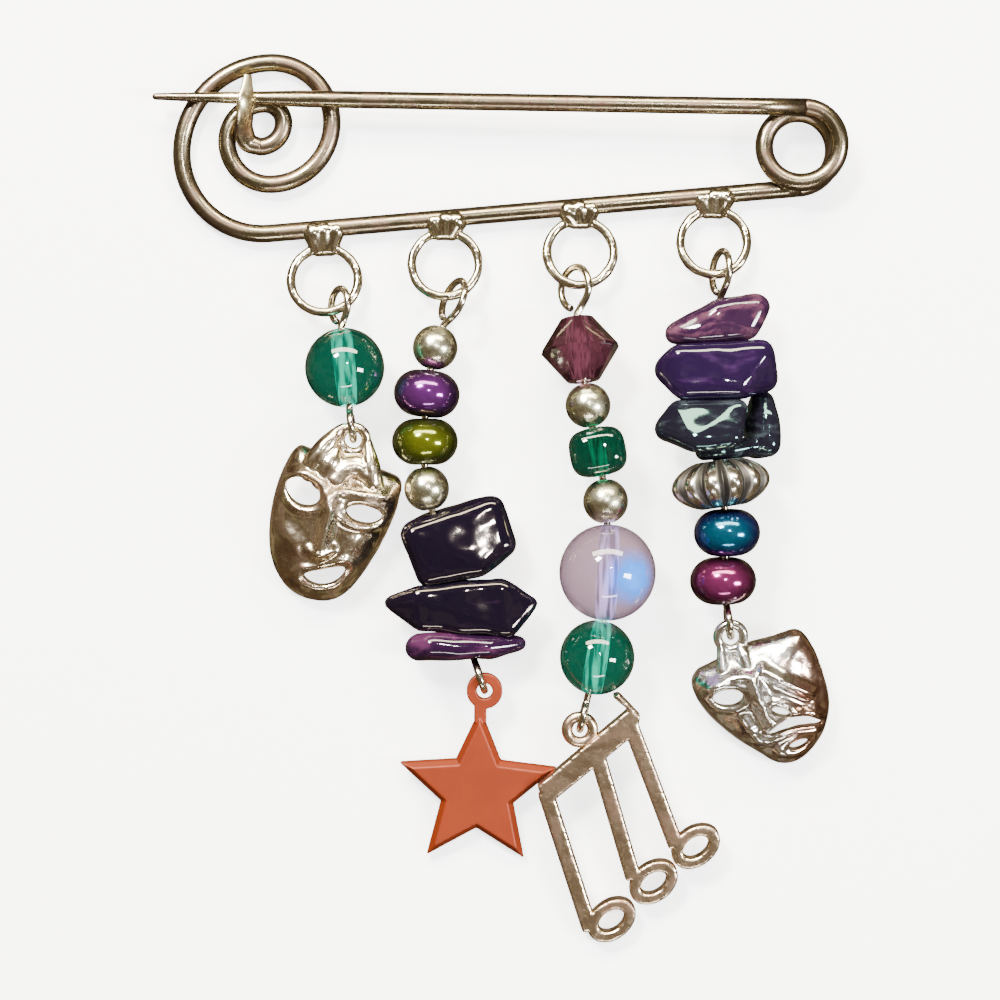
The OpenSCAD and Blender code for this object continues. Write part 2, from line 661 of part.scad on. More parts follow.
frown_lean = 12.5;
frown_drop = 0.9;
frown_ridges = [
    [[1.6, -3.6], [3.0, -6.8], 0.75, 0.9], [[-1.8, -3.9], [1.2, -3.0], 0.7, 0.5],
    [[2.6, -2.4], [6.4, -4.2], 0.8, 0.6], [[4.2, -9.6], [6.6, -9.6], 0.8, 0.3]
];
frown_neck = [
    [1.5, -2.4, 1.9, 0.7], [1.0, -1.5, 1.5, 0.6], [0.8, -0.95, 1.1, 0.45], [0.4, -1.0, 0.9, 0.4]
];
frown_neck_left = [[-0.6, -2.6, 1.5, 0.6], [-0.7, -1.6, 1.2, 0.5], [-0.8, -0.75, 0.95, 0.4]];
frown_brow = [
    [-2.0, -4.0, 1.5, 0.5], [0.0, -3.1, 2.5, 0.55], [1.7, -3.2, 3.2, 0.55], [3.6, -4.4, 3.3, 0.5],
    [5.9, -5.4, 2.6, 0.45]
];
module frowning_mask() {
    color([0.83, 0.80, 0.77]) hung(drop4_route, frown_lean) {
        difference() {
            union() {
                translate([0, 0, -frown_drop]) difference() {
                    union() {
                        mask_shell(frown_outline, [3.0, -5.2], frown_dome, frown_ridges);
                        neck(frown_brow);
                    }
                    oval_cut([-0.25, -4.85], 2.5, 1.6, 12);
                    oval_cut([4.1, -5.9], 1.7, 0.9, -20);
                    crescent_cut([5.4, -7.35], 5.0, 2.4, 12);
                    oval_cut([5.75, -9.05], 1.7, 0.9, 20);
                }
                translate([0, 0, -frown_drop]) {
                    neck(frown_neck);
                    neck(frown_neck_left);
                }
                bail();
            }
            cylinder(h = 6, r = bail_hole_r, center = true, $fn = 20);
        }
    }
}

// Nodes

module drop1_wire() { eye_pin(drop1_route, upper_eyes[0], low_eye_r); }
module drop1_green_bead() {
    color([0.25, 0.62, 0.58, 0.7]) on_route(drop1_route, 1) round_bead(green_bead_d);
}

module drop2_wire() { eye_pin(drop2_route, upper_eyes[1], low_eye_r); }
module drop2_silver_bead_top() {
    color([0.8, 0.78, 0.72]) on_route(drop2_route, 1) round_bead(silver_bead_d);
}
module drop2_purple_seed() { color([0.34, 0.24, 0.42]) on_route(drop2_route, 2) seed_bead(); }
module drop2_olive_seed() { color([0.36, 0.36, 0.2]) on_route(drop2_route, 3) seed_bead(); }
module drop2_silver_bead_low() {
    color([0.8, 0.78, 0.72]) on_route(drop2_route, 4) round_bead(silver_bead_d);
}
module drop2_chip_top() { color([0.13, 0.09, 0.14]) chip(drop2_route, 5, chip2_top); }
module drop2_chip_mid() { color([0.16, 0.1, 0.2]) chip(drop2_route, 6, chip2_mid); }
module drop2_chip_low() { color([0.26, 0.13, 0.27]) chip(drop2_route, 7, chip2_low); }

module drop3_wire() { eye_pin(drop3_route, upper_eyes[2], low_eye_r); }
module drop3_bicone() { color([0.45, 0.32, 0.5]) on_route(drop3_route, 1) bicone(); }
module drop3_silver_bead_top() {
    color([0.8, 0.78, 0.72]) on_route(drop3_route, 2) round_bead(silver_bead_d);
}
module drop3_cube_bead() { color([0.1, 0.28, 0.2, 0.8]) on_route(drop3_route, 3) cube_bead(); }
module drop3_silver_bead_low() {
    color([0.8, 0.78, 0.72]) on_route(drop3_route, 4) round_bead(silver_bead_d);
}
module drop3_lavender_bead() {
    color([0.66, 0.62, 0.86, 0.7]) on_route(drop3_route, 5) round_bead(lavender_d);
}
module drop3_green_bead() {
    color([0.12, 0.55, 0.47, 0.8]) on_route(drop3_route, 6) round_bead(teal_bead_d);
}

module drop4_wire() { eye_pin(drop4_route, upper_eyes[3], low_eye_r); }
module drop4_chip_top() { color([0.42, 0.25, 0.45]) chip(drop4_route, 1, chip4_top); }
module drop4_chip_mid() { color([0.27, 0.16, 0.42]) chip(drop4_route, 2, chip4_mid); }
module drop4_chip_low() { color([0.2, 0.2, 0.25]) chip(drop4_route, 3, chip4_low); }
module drop4_chip_side() { color([0.25, 0.22, 0.3]) chip(drop4_route, 4, chip4_side, chip4_tongue); }
module drop4_rondelle() { color([0.5, 0.48, 0.42]) on_route(drop4_route, 5) fluted_bead(); }
module drop4_blue_seed() { color([0.16, 0.24, 0.42]) on_route(drop4_route, 6) seed_bead(); }
module drop4_plum_seed() { color([0.3, 0.16, 0.26]) on_route(drop4_route, 7) seed_bead(); }

frame_wire();
spring_coil();
pin_stem();
drop1_wire();
drop1_green_bead();
smiling_mask();
drop2_wire();
drop2_silver_bead_top();
drop2_purple_seed();
drop2_olive_seed();
drop2_silver_bead_low();
drop2_chip_top();
drop2_chip_mid();
drop2_chip_low();
copper_star();
drop3_wire();
drop3_bicone();
drop3_silver_bead_top();
drop3_cube_bead();
drop3_silver_bead_low();
drop3_lavender_bead();
drop3_green_bead();
music_notes();
drop4_wire();
drop4_chip_top();
drop4_chip_mid();
drop4_chip_low();
drop4_chip_side();
drop4_rondelle();
drop4_blue_seed();
drop4_plum_seed();
frowning_mask();
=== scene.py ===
"""Dresses the wire safety pin brooch with its bead drops and cast charms.

Lengths are in millimetres and are scaled to metres when a mesh is made. The frame has +X along the
pin, +Y from the charms to the pin and +Z off the surface that the brooch lies on.
"""

from __future__ import annotations

import logging
import math
from dataclasses import dataclass, field
from enum import Enum
from typing import Any, Sequence

import bpy
import numpy as np
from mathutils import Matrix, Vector, noise
from mathutils.geometry import delaunay_2d_cdt


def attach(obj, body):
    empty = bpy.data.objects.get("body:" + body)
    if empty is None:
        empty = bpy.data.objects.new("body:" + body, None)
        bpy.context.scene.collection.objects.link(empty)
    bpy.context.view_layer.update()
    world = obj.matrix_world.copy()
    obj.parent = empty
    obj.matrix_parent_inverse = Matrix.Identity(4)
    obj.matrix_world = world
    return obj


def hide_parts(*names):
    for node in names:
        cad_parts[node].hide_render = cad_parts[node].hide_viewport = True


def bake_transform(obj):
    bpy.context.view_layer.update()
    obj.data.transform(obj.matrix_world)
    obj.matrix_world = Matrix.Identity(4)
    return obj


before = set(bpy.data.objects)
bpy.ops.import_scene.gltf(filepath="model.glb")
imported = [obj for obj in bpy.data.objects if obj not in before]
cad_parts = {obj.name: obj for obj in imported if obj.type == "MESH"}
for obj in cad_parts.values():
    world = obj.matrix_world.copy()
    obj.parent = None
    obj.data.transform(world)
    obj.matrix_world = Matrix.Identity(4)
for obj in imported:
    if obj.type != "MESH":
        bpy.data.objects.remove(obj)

log = logging.getLogger("brooch")

MM = 0.001
BROOCH, STEM = "brooch", "stem"
WIRE_R = 0.75
EYE_WIRE_R = 0.3
BORE_R = 0.6
LOW_EYE_R = 1.15

Point = Sequence[float]
Faces = list[tuple[int, ...]]


# Geometry


def unit(v: np.ndarray) -> np.ndarray:
    """Returns a vector scaled to length one."""
    return v / np.linalg.norm(v)


def smooth_step(t: np.ndarray | float) -> np.ndarray | float:
    """Returns an eased share of a share from 0 to 1."""
    return t * t * (3 - 2 * t)


def open_curve(points: Sequence[Point], steps: int) -> np.ndarray:
    """Makes a smooth curve through points.

    Args:
        points: The points, in millimetres.
        steps: Number of steps between neighbouring points.

    Returns:
        The curve's points, one a row.
    """
    p = [np.array(q, float) for q in points]
    out = []
    for i in range(len(p) - 1):
        a, b, c, d = p[max(i - 1, 0)], p[i], p[i + 1], p[min(i + 2, len(p) - 1)]
        out += [spline_at(a, b, c, d, k / steps) for k in range(steps)]
    return np.array(out + [p[-1]])


def closed_curve(points: Sequence[Point], steps: int) -> np.ndarray:
    """Makes a smooth loop through points.

    Args:
        points: The points, in millimetres.
        steps: Number of steps between neighbouring points.

    Returns:
        The loop's points, one a row, with the first not repeated.
    """
    p = [np.array(q, float) for q in points]
    n = len(p)
    return np.array([
        spline_at(p[i - 1], p[i], p[(i + 1) % n], p[(i + 2) % n], k / steps)
        for i in range(n)
        for k in range(steps)
    ])


def spline_at(a: np.ndarray, b: np.ndarray, c: np.ndarray, d: np.ndarray, t: float) -> np.ndarray:
    """Returns the point at share t of the span from b to c of a curve through four points."""
    return 0.5 * (
        2 * b + (c - a) * t + (2 * a - 5 * b + 4 * c - d) * t**2 + (3 * b - a - 3 * c + d) * t**3
    )


def turn_x(degrees: float) -> np.ndarray:
    """Returns the matrix of a turn about X."""
    c, s = math.cos(math.radians(degrees)), math.sin(math.radians(degrees))
    return np.array([[1, 0, 0], [0, c, -s], [0, s, c]])


def turn_along(direction: np.ndarray) -> np.ndarray:
    """Returns the matrix of the turn that lays Z along a direction."""
    d = unit(direction)
    theta, phi = math.acos(d[2]), math.atan2(d[1], d[0])
    tilt = np.array([
        [math.cos(theta), 0, math.sin(theta)], [0, 1, 0], [-math.sin(theta), 0, math.cos(theta)]
    ])
    spin = np.array([[math.cos(phi), -math.sin(phi), 0], [math.sin(phi), math.cos(phi), 0],
                     [0, 0, 1]])
    return spin @ tilt


@dataclass
class Shape:
    """A mesh in the making: its points, faces and the finish number of each face."""

    points: list[np.ndarray] = field(default_factory=list)
    faces: Faces = field(default_factory=list)
    finishes: list[int] = field(default_factory=list)

    def add(self, points: np.ndarray, faces: Faces, finish: int = 0) -> Shape:
        """Adds points and faces.

        Args:
            points: Points in millimetres, one a row.
            faces: Faces as tuples of row numbers.
            finish: Number of the finish that the faces take.

        Returns:
            This shape.
        """
        start = sum(len(p) for p in self.points)
        self.points.append(np.asarray(points, float))
        self.faces += [tuple(start + i for i in f) for f in faces]
        self.finishes += [finish] * len(faces)
        return self

    def placed(self, matrix: np.ndarray, shift: Point) -> Shape:
        """Turns the shape by a matrix, then moves it."""
        self.points = [p @ matrix.T + np.array(shift, float) for p in self.points]
        return self

    def joined(self, other: Shape) -> Shape:
        """Takes in another shape."""
        start = sum(len(p) for p in self.points)
        self.points += other.points
        self.faces += [tuple(start + i for i in f) for f in other.faces]
        self.finishes += other.finishes
        return self

    def tube(self, path: np.ndarray, sizes: np.ndarray, side: Point, count: int = 20,
             finish: int = 0) -> Shape:
        """Sweeps a closed tube along a path.

        Args:
            path: Points of the centreline.
            sizes: Half width and half thickness at each point.
            side: Direction of the half thickness at the start.
            count: Number of sides.
            finish: Number of the finish.

        Returns:
            This shape.
        """
        n = len(path)
        ways = [unit(path[min(i + 1, n - 1)] - path[max(i - 1, 0)]) for i in range(n)]
        across = np.array(side, float)
        angles = 2 * np.pi * (np.arange(count) + 0.5) / count
        rows = []
        for p, way, (w, t) in zip(path, ways, sizes):
            across = unit(across - np.dot(across, way) * way)
            other = np.cross(way, across)
            rows.append(p + w * np.cos(angles)[:, None] * other
                        + t * np.sin(angles)[:, None] * across)
        first, last = n * count, n * count + 1
        points = np.vstack(rows + [path[:1], path[-1:]])
        faces = [
            (i * count + k, i * count + (k + 1) % count,
             (i + 1) * count + (k + 1) % count, (i + 1) * count + k)
            for i in range(n - 1) for k in range(count)
        ]
        faces += [(first, (k + 1) % count, k) for k in range(count)]
        end = (n - 1) * count
        faces += [(last, end + k, end + (k + 1) % count) for k in range(count)]
        return self.add(points, faces, finish)

    def lathe(self, profile: Sequence[tuple[float, float]], count: int = 64,
              finishes: Sequence[int] = (), flutes: Flutes | None = None) -> Shape:
        """Turns a closed profile about Z.

        Args:
            profile: Radius and height of each point, counter-clockwise with the radius
                to the right.
            count: Number of steps round.
            finishes: Finish number of the band after each point; all 0 if left out.
            flutes: Grooves round the outside, if any.

        Returns:
            This shape.
        """
        angles = 2 * np.pi * np.arange(count) / count
        rows = []
        for r, z in profile:
            reach = r * (flutes.share(angles, r) if flutes else np.ones(count))
            rows.append(np.stack([reach * np.cos(angles), reach * np.sin(angles),
                                  np.full(count, z)], 1))
        start, n = sum(len(p) for p in self.points), len(profile)
        self.points.append(np.vstack(rows))
        for i in range(n):
            for k in range(count):
                a, b = i * count + k, i * count + (k + 1) % count
                c, d = (i + 1) % n * count + (k + 1) % count, (i + 1) % n * count + k
                self.faces.append(tuple(start + j for j in (a, b, c, d)))
                self.finishes.append(finishes[i] if finishes else 0)
        return self

    def ball(self, centre: Point, radius: float, finish: int = 0) -> Shape:
        """Adds a ball."""
        rows, count = 12, 20
        lats = np.pi * (np.arange(1, rows) / rows - 0.5)
        lons = 2 * np.pi * np.arange(count) / count
        body = [[math.cos(a) * math.cos(b), math.cos(a) * math.sin(b), math.sin(a)]
                for a in lats for b in lons]
        points = np.array(body + [[0, 0, -1], [0, 0, 1]]) * radius + np.array(centre, float)
        faces = [
            (i * count + k, i * count + (k + 1) % count,
             (i + 1) * count + (k + 1) % count, (i + 1) * count + k)
            for i in range(rows - 2) for k in range(count)
        ]
        low, high, top = len(body), len(body) + 1, (rows - 2) * count
        faces += [(low, (k + 1) % count, k) for k in range(count)]
        faces += [(high, top + k, top + (k + 1) % count) for k in range(count)]
        return self.add(points, faces, finish)

    def torus(self, radius: float, wire: float, around: int = 72, sides: int = 20,
              finish: int = 0) -> Shape:
        """Adds a ring in the XY plane."""
        a = 2 * np.pi * np.arange(around) / around
        b = 2 * np.pi * np.arange(sides) / sides
        points = np.array([
            [(radius + wire * math.cos(v)) * math.cos(u),
              (radius + wire * math.cos(v)) * math.sin(u),
             wire * math.sin(v)]
            for u in a for v in b
        ])
        faces = [
            (i * sides + k, (i + 1) % around * sides + k,
             (i + 1) % around * sides + (k + 1) % sides, i * sides + (k + 1) % sides)
            for i in range(around) for k in range(sides)
        ]
        return self.add(points, faces, finish)

    def mesh(self, name: str) -> bpy.types.Mesh:
        """Makes the Blender mesh, in metres and smooth-shaded."""
        mesh = bpy.data.meshes.new(name)
        mesh.from_pydata((np.vstack(self.points) * MM).tolist(), [], self.faces)
        mesh.polygons.foreach_set("material_index", self.finishes)
        mesh.polygons.foreach_set("use_smooth", [True] * len(mesh.polygons))
        mesh.validate()
        mesh.update()
        return mesh


@dataclass(frozen=True)
class Flutes:
    """Grooves round a bead: how many, how deep as a share of the radius, and the bead's radius."""

    count: int
    depth: float
    outer_r: float

    def share(self, angles: np.ndarray, r: float) -> np.ndarray:
        """Returns how much of a profile radius is left at each angle."""
        if r < BORE_R * 1.3:
            return np.ones(len(angles))
        bulge = (r / self.outer_r) ** 0.6
        return 1 - self.depth * bulge * (1 - np.abs(np.sin(self.count * angles / 2)) ** 0.8)


def piece(name: str, mesh: bpy.types.Mesh, finishes: Sequence[bpy.types.Material],
          nodes: Sequence[str], body: str | None = BROOCH) -> bpy.types.Object:
    """Makes an object that stands for CAD nodes.

    Args:
        name: The piece's name.
        mesh: Its mesh.
        finishes: Its materials, in the order of the mesh's finish numbers.
        nodes: The CAD nodes it stands for.
        body: The body it rides on, or None for a piece that is blended later.

    Returns:
        The object.
    """
    obj = bpy.data.objects.new(name, mesh)
    bpy.context.scene.collection.objects.link(obj)
    numbers = [face.material_index if len(finishes) > 1 else 0 for face in mesh.polygons]
    mesh.materials.clear()
    for material in finishes:
        mesh.materials.append(material)
    mesh.polygons.foreach_set("material_index", numbers)
    if body is not None:
        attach(obj, body)
    if nodes:
        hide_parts(*nodes)
    log.info("%s: %d faces for %s", name, len(mesh.polygons), ", ".join(nodes) or "no node")
    return obj


def fused(mesh: bpy.types.Mesh, voxel: float, passes: int, swell: float = 0.0) -> bpy.types.Mesh:
    """Fuses what a mesh holds into one soft skin, as casting or tumbling does.

    Args:
        mesh: The mesh, in metres.
        voxel: Size of the remeshing step, in millimetres.
        passes: Number of smoothing passes.
        swell: How far the skin is pushed back out afterwards, in millimetres.

    Returns:
        The new mesh.
    """
    obj = bpy.data.objects.new("fusing", mesh)
    bpy.context.scene.collection.objects.link(obj)
    remesh = obj.modifiers.new("remesh", "REMESH")
    remesh.mode, remesh.voxel_size, remesh.use_smooth_shade = "VOXEL", voxel * MM, True
    if passes:
        smoothing = obj.modifiers.new("smoothing", "SMOOTH")
        smoothing.factor, smoothing.iterations = 0.5, passes
    graph = bpy.context.evaluated_depsgraph_get()
    result = bpy.data.meshes.new_from_object(obj.evaluated_get(graph))
    bpy.data.objects.remove(obj)
    result.polygons.foreach_set("use_smooth", [True] * len(result.polygons))
    if swell:
        co, normals = vertex_arrays(result)
        result.vertices.foreach_set("co", (co + normals * swell * MM).ravel())
        result.update()
    return result


def vertex_arrays(mesh: bpy.types.Mesh) -> tuple[np.ndarray, np.ndarray]:
    """Returns a mesh's points and normals, one a row."""
    n = len(mesh.vertices)
    co, normals = np.zeros(n * 3), np.zeros(n * 3)
    mesh.vertices.foreach_get("co", co)
    mesh.vertices.foreach_get("normal", normals)
    return co.reshape(-1, 3), normals.reshape(-1, 3)


def roughened(mesh: bpy.types.Mesh, grain: float, depth: float, seed: float) -> bpy.types.Mesh:
    """Pushes a mesh's points along their normals by soft noise.

    Args:
        mesh: The mesh, in metres.
        grain: Size of the lumps, in millimetres.
        depth: Greatest push, in millimetres.
        seed: Shift of the noise, so that pieces differ.

    Returns:
        The same mesh.
    """
    co, normals = vertex_arrays(mesh)
    shift = Vector((seed, seed, seed))
    push = np.array([0.5 * noise.noise(p / (grain * MM) + shift) for p in map(Vector, co)])
    mesh.vertices.foreach_set("co", (co + normals * (push * depth * MM)[:, None]).ravel())
    mesh.update()
    return mesh


# Shader maths


class Value:
    """One output of a shader node, with the operators that the finishes use."""

    def __init__(self, kit: NodeKit, socket: bpy.types.NodeSocket) -> None:
        self.kit = kit
        self.socket = socket

    def __add__(self, other: Value | float) -> Value:
        """Adds."""
        return self.kit.maths("ADD", self, other)

    __radd__ = __add__

    def __sub__(self, other: Value | float) -> Value:
        """Takes away."""
        return self.kit.maths("SUBTRACT", self, other)

    def __rsub__(self, other: float) -> Value:
        """Takes this from a number."""
        return self.kit.maths("SUBTRACT", other, self)

    def __mul__(self, other: Value | float) -> Value:
        """Multiplies."""
        return self.kit.maths("MULTIPLY", self, other)

    __rmul__ = __mul__

    def __truediv__(self, other: Value | float) -> Value:
        """Divides."""
        return self.kit.maths("DIVIDE", self, other)

    def __pow__(self, other: float) -> Value:
        """Raises to a power."""
        return self.kit.maths("POWER", self, other)

    def between(self, low: float, high: float) -> Value:
        """Returns 0 below low, 1 above high and an eased share between."""
        return self.kit.add("ShaderNodeMapRange", {"interpolation_type": "SMOOTHSTEP"},
                            {"Value": self, "From Min": low, "From Max": high})


class NodeKit:
    """Builds one material's node tree."""

    def __init__(self, name: str) -> None:
        """Starts a material with an empty tree."""
        self.material = bpy.data.materials.new(name)
        self.material.use_nodes = True
        self.tree = self.material.node_tree
        self.tree.nodes.clear()

    def add(self, kind: str, settings: dict[str, Any] | None = None,
            inputs: dict[str | int, Any] | None = None, out: str | int = 0) -> Value:
        """Adds a node.

        Args:
            kind: The node's type.
            settings: What is set on the node first; "stops" fills a colour ramp.
            inputs: Values or links for its sockets, by name or number.
            out: Name or number of the output that is returned.

        Returns:
            The output.
        """
        node = self.tree.nodes.new(kind)
        for key, value in (settings or {}).items():
            if key == "stops":
                self.fill_ramp(node.color_ramp, value)
            else:
                setattr(node, key, value)
        for key, value in (inputs or {}).items():
            if isinstance(value, Value):
                self.tree.links.new(value.socket, node.inputs[key])
            else:
                node.inputs[key].default_value = value
        return Value(self, node.outputs[out])

    @staticmethod
    def fill_ramp(ramp: bpy.types.ColorRamp, stops: Sequence[tuple[float, Point]]) -> None:
        """Sets a colour ramp's stops."""
        while len(ramp.elements) < len(stops):
            ramp.elements.new(1)
        for element, (position, colour) in zip(ramp.elements, stops):
            element.position, element.color = position, (*colour[:3], 1)

    def maths(self, operation: str, a: Value | float, b: Value | float) -> Value:
        """Adds a Math node on two values."""
        return self.add("ShaderNodeMath", {"operation": operation}, {0: a, 1: b})

    def place(self) -> Value:
        """Returns the place on the object, in metres of the frame."""
        return self.add("ShaderNodeTexCoord", out="Object")

    def stretched(self, place: Value, scale: Point) -> Value:
        """Returns a place scaled along the three axes."""
        return self.add("ShaderNodeVectorMath", {"operation": "MULTIPLY"},
                        {0: place, 1: tuple(scale)})

    def cloud(self, place: Value, size: float, detail: float = 3, warp: float = 0) -> Value:
        """Returns soft noise.

        Args:
            place: Where it is read.
            size: Size of a lump, in millimetres.
            detail: Number of finer layers.
            warp: Distortion.

        Returns:
            A value from 0 to 1.
        """
        return self.add("ShaderNodeTexNoise", {"noise_dimensions": "3D"},
                        {"Vector": place, "Scale": 1 / (size * MM), "Detail": detail,
                         "Distortion": warp})

    def blend(self, share: Value | float, a: Value | Point, b: Value | Point,
              kind: str = "MIX") -> Value:
        """Blends two colours.

        Args:
            share: Share of the second colour.
            a: First colour.
            b: Second colour.
            kind: How they are blended.

        Returns:
            The colour.
        """
        ends = [c if isinstance(c, Value) else (*c[:3], 1) for c in (a, b)]
        return self.add("ShaderNodeMix", {"data_type": "RGBA", "blend_type": kind},
                        {0: share, 6: ends[0], 7: ends[1]}, 2)

    def ramp(self, value: Value, stops: Sequence[tuple[float, Point]]) -> Value:
        """Returns the colour of a value along stops."""
        return self.add("ShaderNodeValToRGB", {"stops": stops}, {0: value})

    def facing(self, blend: float = 0.5) -> Value:
        """Returns how far the surface turns away, 0 face on and 1 at the rim."""
        return self.add("ShaderNodeLayerWeight", inputs={"Blend": blend}, out="Facing")

    def bump(self, height: Value, depth: float, normal: Value | None = None) -> Value:
        """Returns a normal bumped by a height.

        Args:
            height: The height, from 0 to 1.
            depth: Depth of the relief, in millimetres.
            normal: A normal that is bumped already, if any.

        Returns:
            The normal.
        """
        inputs: dict[str | int, Any] = {"Height": height, "Distance": depth * MM, "Strength": 1.0}
        if normal is not None:
            inputs["Normal"] = normal
        return self.add("ShaderNodeBump", inputs=inputs)

    def distance(self, place: Value, middle: Point) -> Value:
        """Returns how far a place lies from a point, given in millimetres of the frame."""
        return self.add("ShaderNodeVectorMath", {"operation": "DISTANCE"},
                        {0: place, 1: tuple(c * MM for c in middle)}, "Value")

    def surface(self, **inputs: Any) -> bpy.types.Material:
        """Closes the tree with a Principled shader.

        Args:
            inputs: Values or links, with underscores for the spaces in the sockets' names.

        Returns:
            The material.
        """
        named = {key.replace("_", " "): value for key, value in inputs.items()}
        shader = self.add("ShaderNodeBsdfPrincipled", inputs=named)
        self.add_output(shader)
        return self.material

    def add_output(self, shader: Value) -> None:
        """Sends a shader to the material's output."""
        output = self.tree.nodes.new("ShaderNodeOutputMaterial")
        self.tree.links.new(shader.socket, output.inputs["Surface"])


# Finishes


@dataclass(frozen=True)
class Silver:
    """Polished silver that has dulled a little.

    Attributes:
        name: The material's name.
        bright: Colour of the clean metal.
        dull: Colour of the tarnish.
        tarnish: How much of it has dulled, from 0 to 1.
        rough: Roughness of the clean metal.
        dents: Depth of the soft hammer marks, in millimetres.
        dent_size: Size of the marks, in millimetres.
        warm: Colour that covers one side of the piece, if any.
        warm_from: Place across the frame where that side begins, in millimetres.
        painted_highlight_at: Middle of a painted highlight on the catch hook, in millimetres of the frame, if any.
        painted_highlight_r: Radius of that painted highlight, in millimetres.
        painted_highlight: Its colour.
    """

    name: str
    bright: Point = (0.83, 0.79, 0.72)
    dull: Point = (0.42, 0.33, 0.24)
    tarnish: float = 0.4
    rough: float = 0.16
    dents: float = 0.02
    dent_size: float = 1.1
    warm: Point | None = None
    warm_from: float = 0.0
    painted_highlight_at: Point | None = None
    painted_highlight_r: float = 2.6
    painted_highlight: Point = (1.0, 0.88, 0.55)

    def material(self) -> bpy.types.Material:
        """Returns the material."""
        kit = NodeKit(self.name)
        place = kit.place()
        patches = kit.cloud(place, 2.6, 4, 0.6).between(0.62 - 0.3 * self.tarnish,
                                                        0.86 - 0.3 * self.tarnish)
        specks = kit.cloud(place, 0.35, 2).between(0.52, 0.8)
        dulled = patches * (0.55 + 0.45 * specks)
        colour = kit.blend(dulled * self.tarnish * 1.6, self.bright, self.dull)
        # Blends the warm colour over the part that lies past warm_from along X.
        if self.warm:
            across = kit.add("ShaderNodeSeparateXYZ", inputs={0: place}) + (patches - 0.5) * 2 * MM
            side = across.between((self.warm_from - 1.2) * MM, (self.warm_from + 1.2) * MM)
            colour = kit.blend(side * 0.85, colour, self.warm)
        # Painted highlight: a pale yellow-white patch blended in round painted_highlight_at, standing in for light on
        # the catch hook's top.
        if self.painted_highlight_at:
            away = kit.distance(place, self.painted_highlight_at)
            colour = kit.blend(1 - away.between(0.55 * self.painted_highlight_r * MM, self.painted_highlight_r * MM),
                               colour, self.painted_highlight)
        rough = self.rough + dulled * 0.2 + specks * 0.05
        hammered = kit.bump(kit.cloud(place, self.dent_size, 2), self.dents)
        grained = kit.bump(kit.cloud(place, 0.09, 3), 0.0025, hammered)
        return kit.surface(Base_Color=colour, Metallic=1.0, Roughness=rough, Normal=grained)


@dataclass(frozen=True)
class AntiqueSilver:
    """Silver with black left in its grooves."""

    name: str
    bright: Point = (0.74, 0.70, 0.62)
    dark: Point = (0.06, 0.055, 0.05)

    def material(self) -> bpy.types.Material:
        """Returns the material."""
        kit = NodeKit(self.name)
        place = kit.place()
        groove = kit.add("ShaderNodeVertexColor", {"layer_name": "groove"}, out="Color")
        depth = kit.add("ShaderNodeSeparateColor", inputs={0: groove})
        grime = (depth + 0.25 * (kit.cloud(place, 0.5, 4) - 0.5)).between(0.15, 0.6)
        colour = kit.blend(grime, self.bright, self.dark)
        normal = kit.bump(kit.cloud(place, 0.3, 3), 0.012)
        return kit.surface(Base_Color=colour, Metallic=1.0, Roughness=0.2 + grime * 0.35,
                           Normal=normal)


@dataclass(frozen=True)
class Copper:
    """Brushed copper sheet."""

    name: str
    colour: Point = (0.20, 0.024, 0.0025)
    deep: Point = (0.15, 0.017, 0.002)

    def material(self) -> bpy.types.Material:
        """Returns the material."""
        kit = NodeKit(self.name)
        place = kit.place()
        fine = kit.cloud(place, 0.05, 2)
        brushed = kit.cloud(kit.stretched(place, (1, 0.12, 1)), 0.12, 3)
        broad = kit.cloud(place, 3.5, 3)
        colour = kit.blend(broad.between(0.3, 0.7) * 0.5 + brushed * 0.3, self.colour, self.deep)
        normal = kit.bump(fine * 0.5 + brushed * 0.5, 0.004)
        return kit.surface(Base_Color=colour, Metallic=0.35, Roughness=0.42 + brushed * 0.12,
                           Normal=normal)


@dataclass(frozen=True)
class ClearGlass:
    """Clear tinted glass with painted shade towards its rim and an optional painted glow on one side.

    Attributes:
        name: The material's name.
        tint: Colour where the light passes straight through.
        rim: Colour of the painted shade at the rim.
        clear: Share of the light that passes.
        sheen: Colour of a painted glow on one side, if any.
        glow: Strength of that painted glow, both in the colour and as emission.
        glow_at: The glow's middle, in millimetres of the frame.
        glow_r: The glow's radius, in millimetres.
    """

    name: str
    tint: Point
    rim: Point
    clear: float = 0.9
    sheen: Point = (0.2, 0.4, 1.0)
    glow: float = 0.0
    glow_at: Point = (0, 0, 0)
    glow_r: float = 3.0

    def material(self) -> bpy.types.Material:
        """Returns the material."""
        kit = NodeKit(self.name)
        # Painted shade: the colour darkens from the tint to the rim colour as the surface turns away from the view.
        colour = kit.blend(kit.facing(0.45).between(0.15, 0.95), self.tint, self.rim)
        # Painted glow: the sheen colour is blended into the base colour round glow_at and sent out as emission.
        if self.glow:
            away = kit.distance(kit.place(), self.glow_at)
            near = 1 - (away / (self.glow_r * MM)).between(0.0, 1.0)
            near = near * (0.6 + 0.8 * kit.cloud(kit.place(), 0.9, 2))
            colour = kit.blend(near * self.glow, colour, self.sheen)
        glint = kit.blend(near * near, (0, 0, 0), self.sheen) if self.glow else (0, 0, 0, 1)
        return kit.surface(Base_Color=colour, Roughness=0.03, IOR=1.5,
                           Transmission_Weight=self.clear, Coat_Weight=0.3, Coat_Roughness=0.02, Emission_Color=glint,
                           Emission_Strength=self.glow)


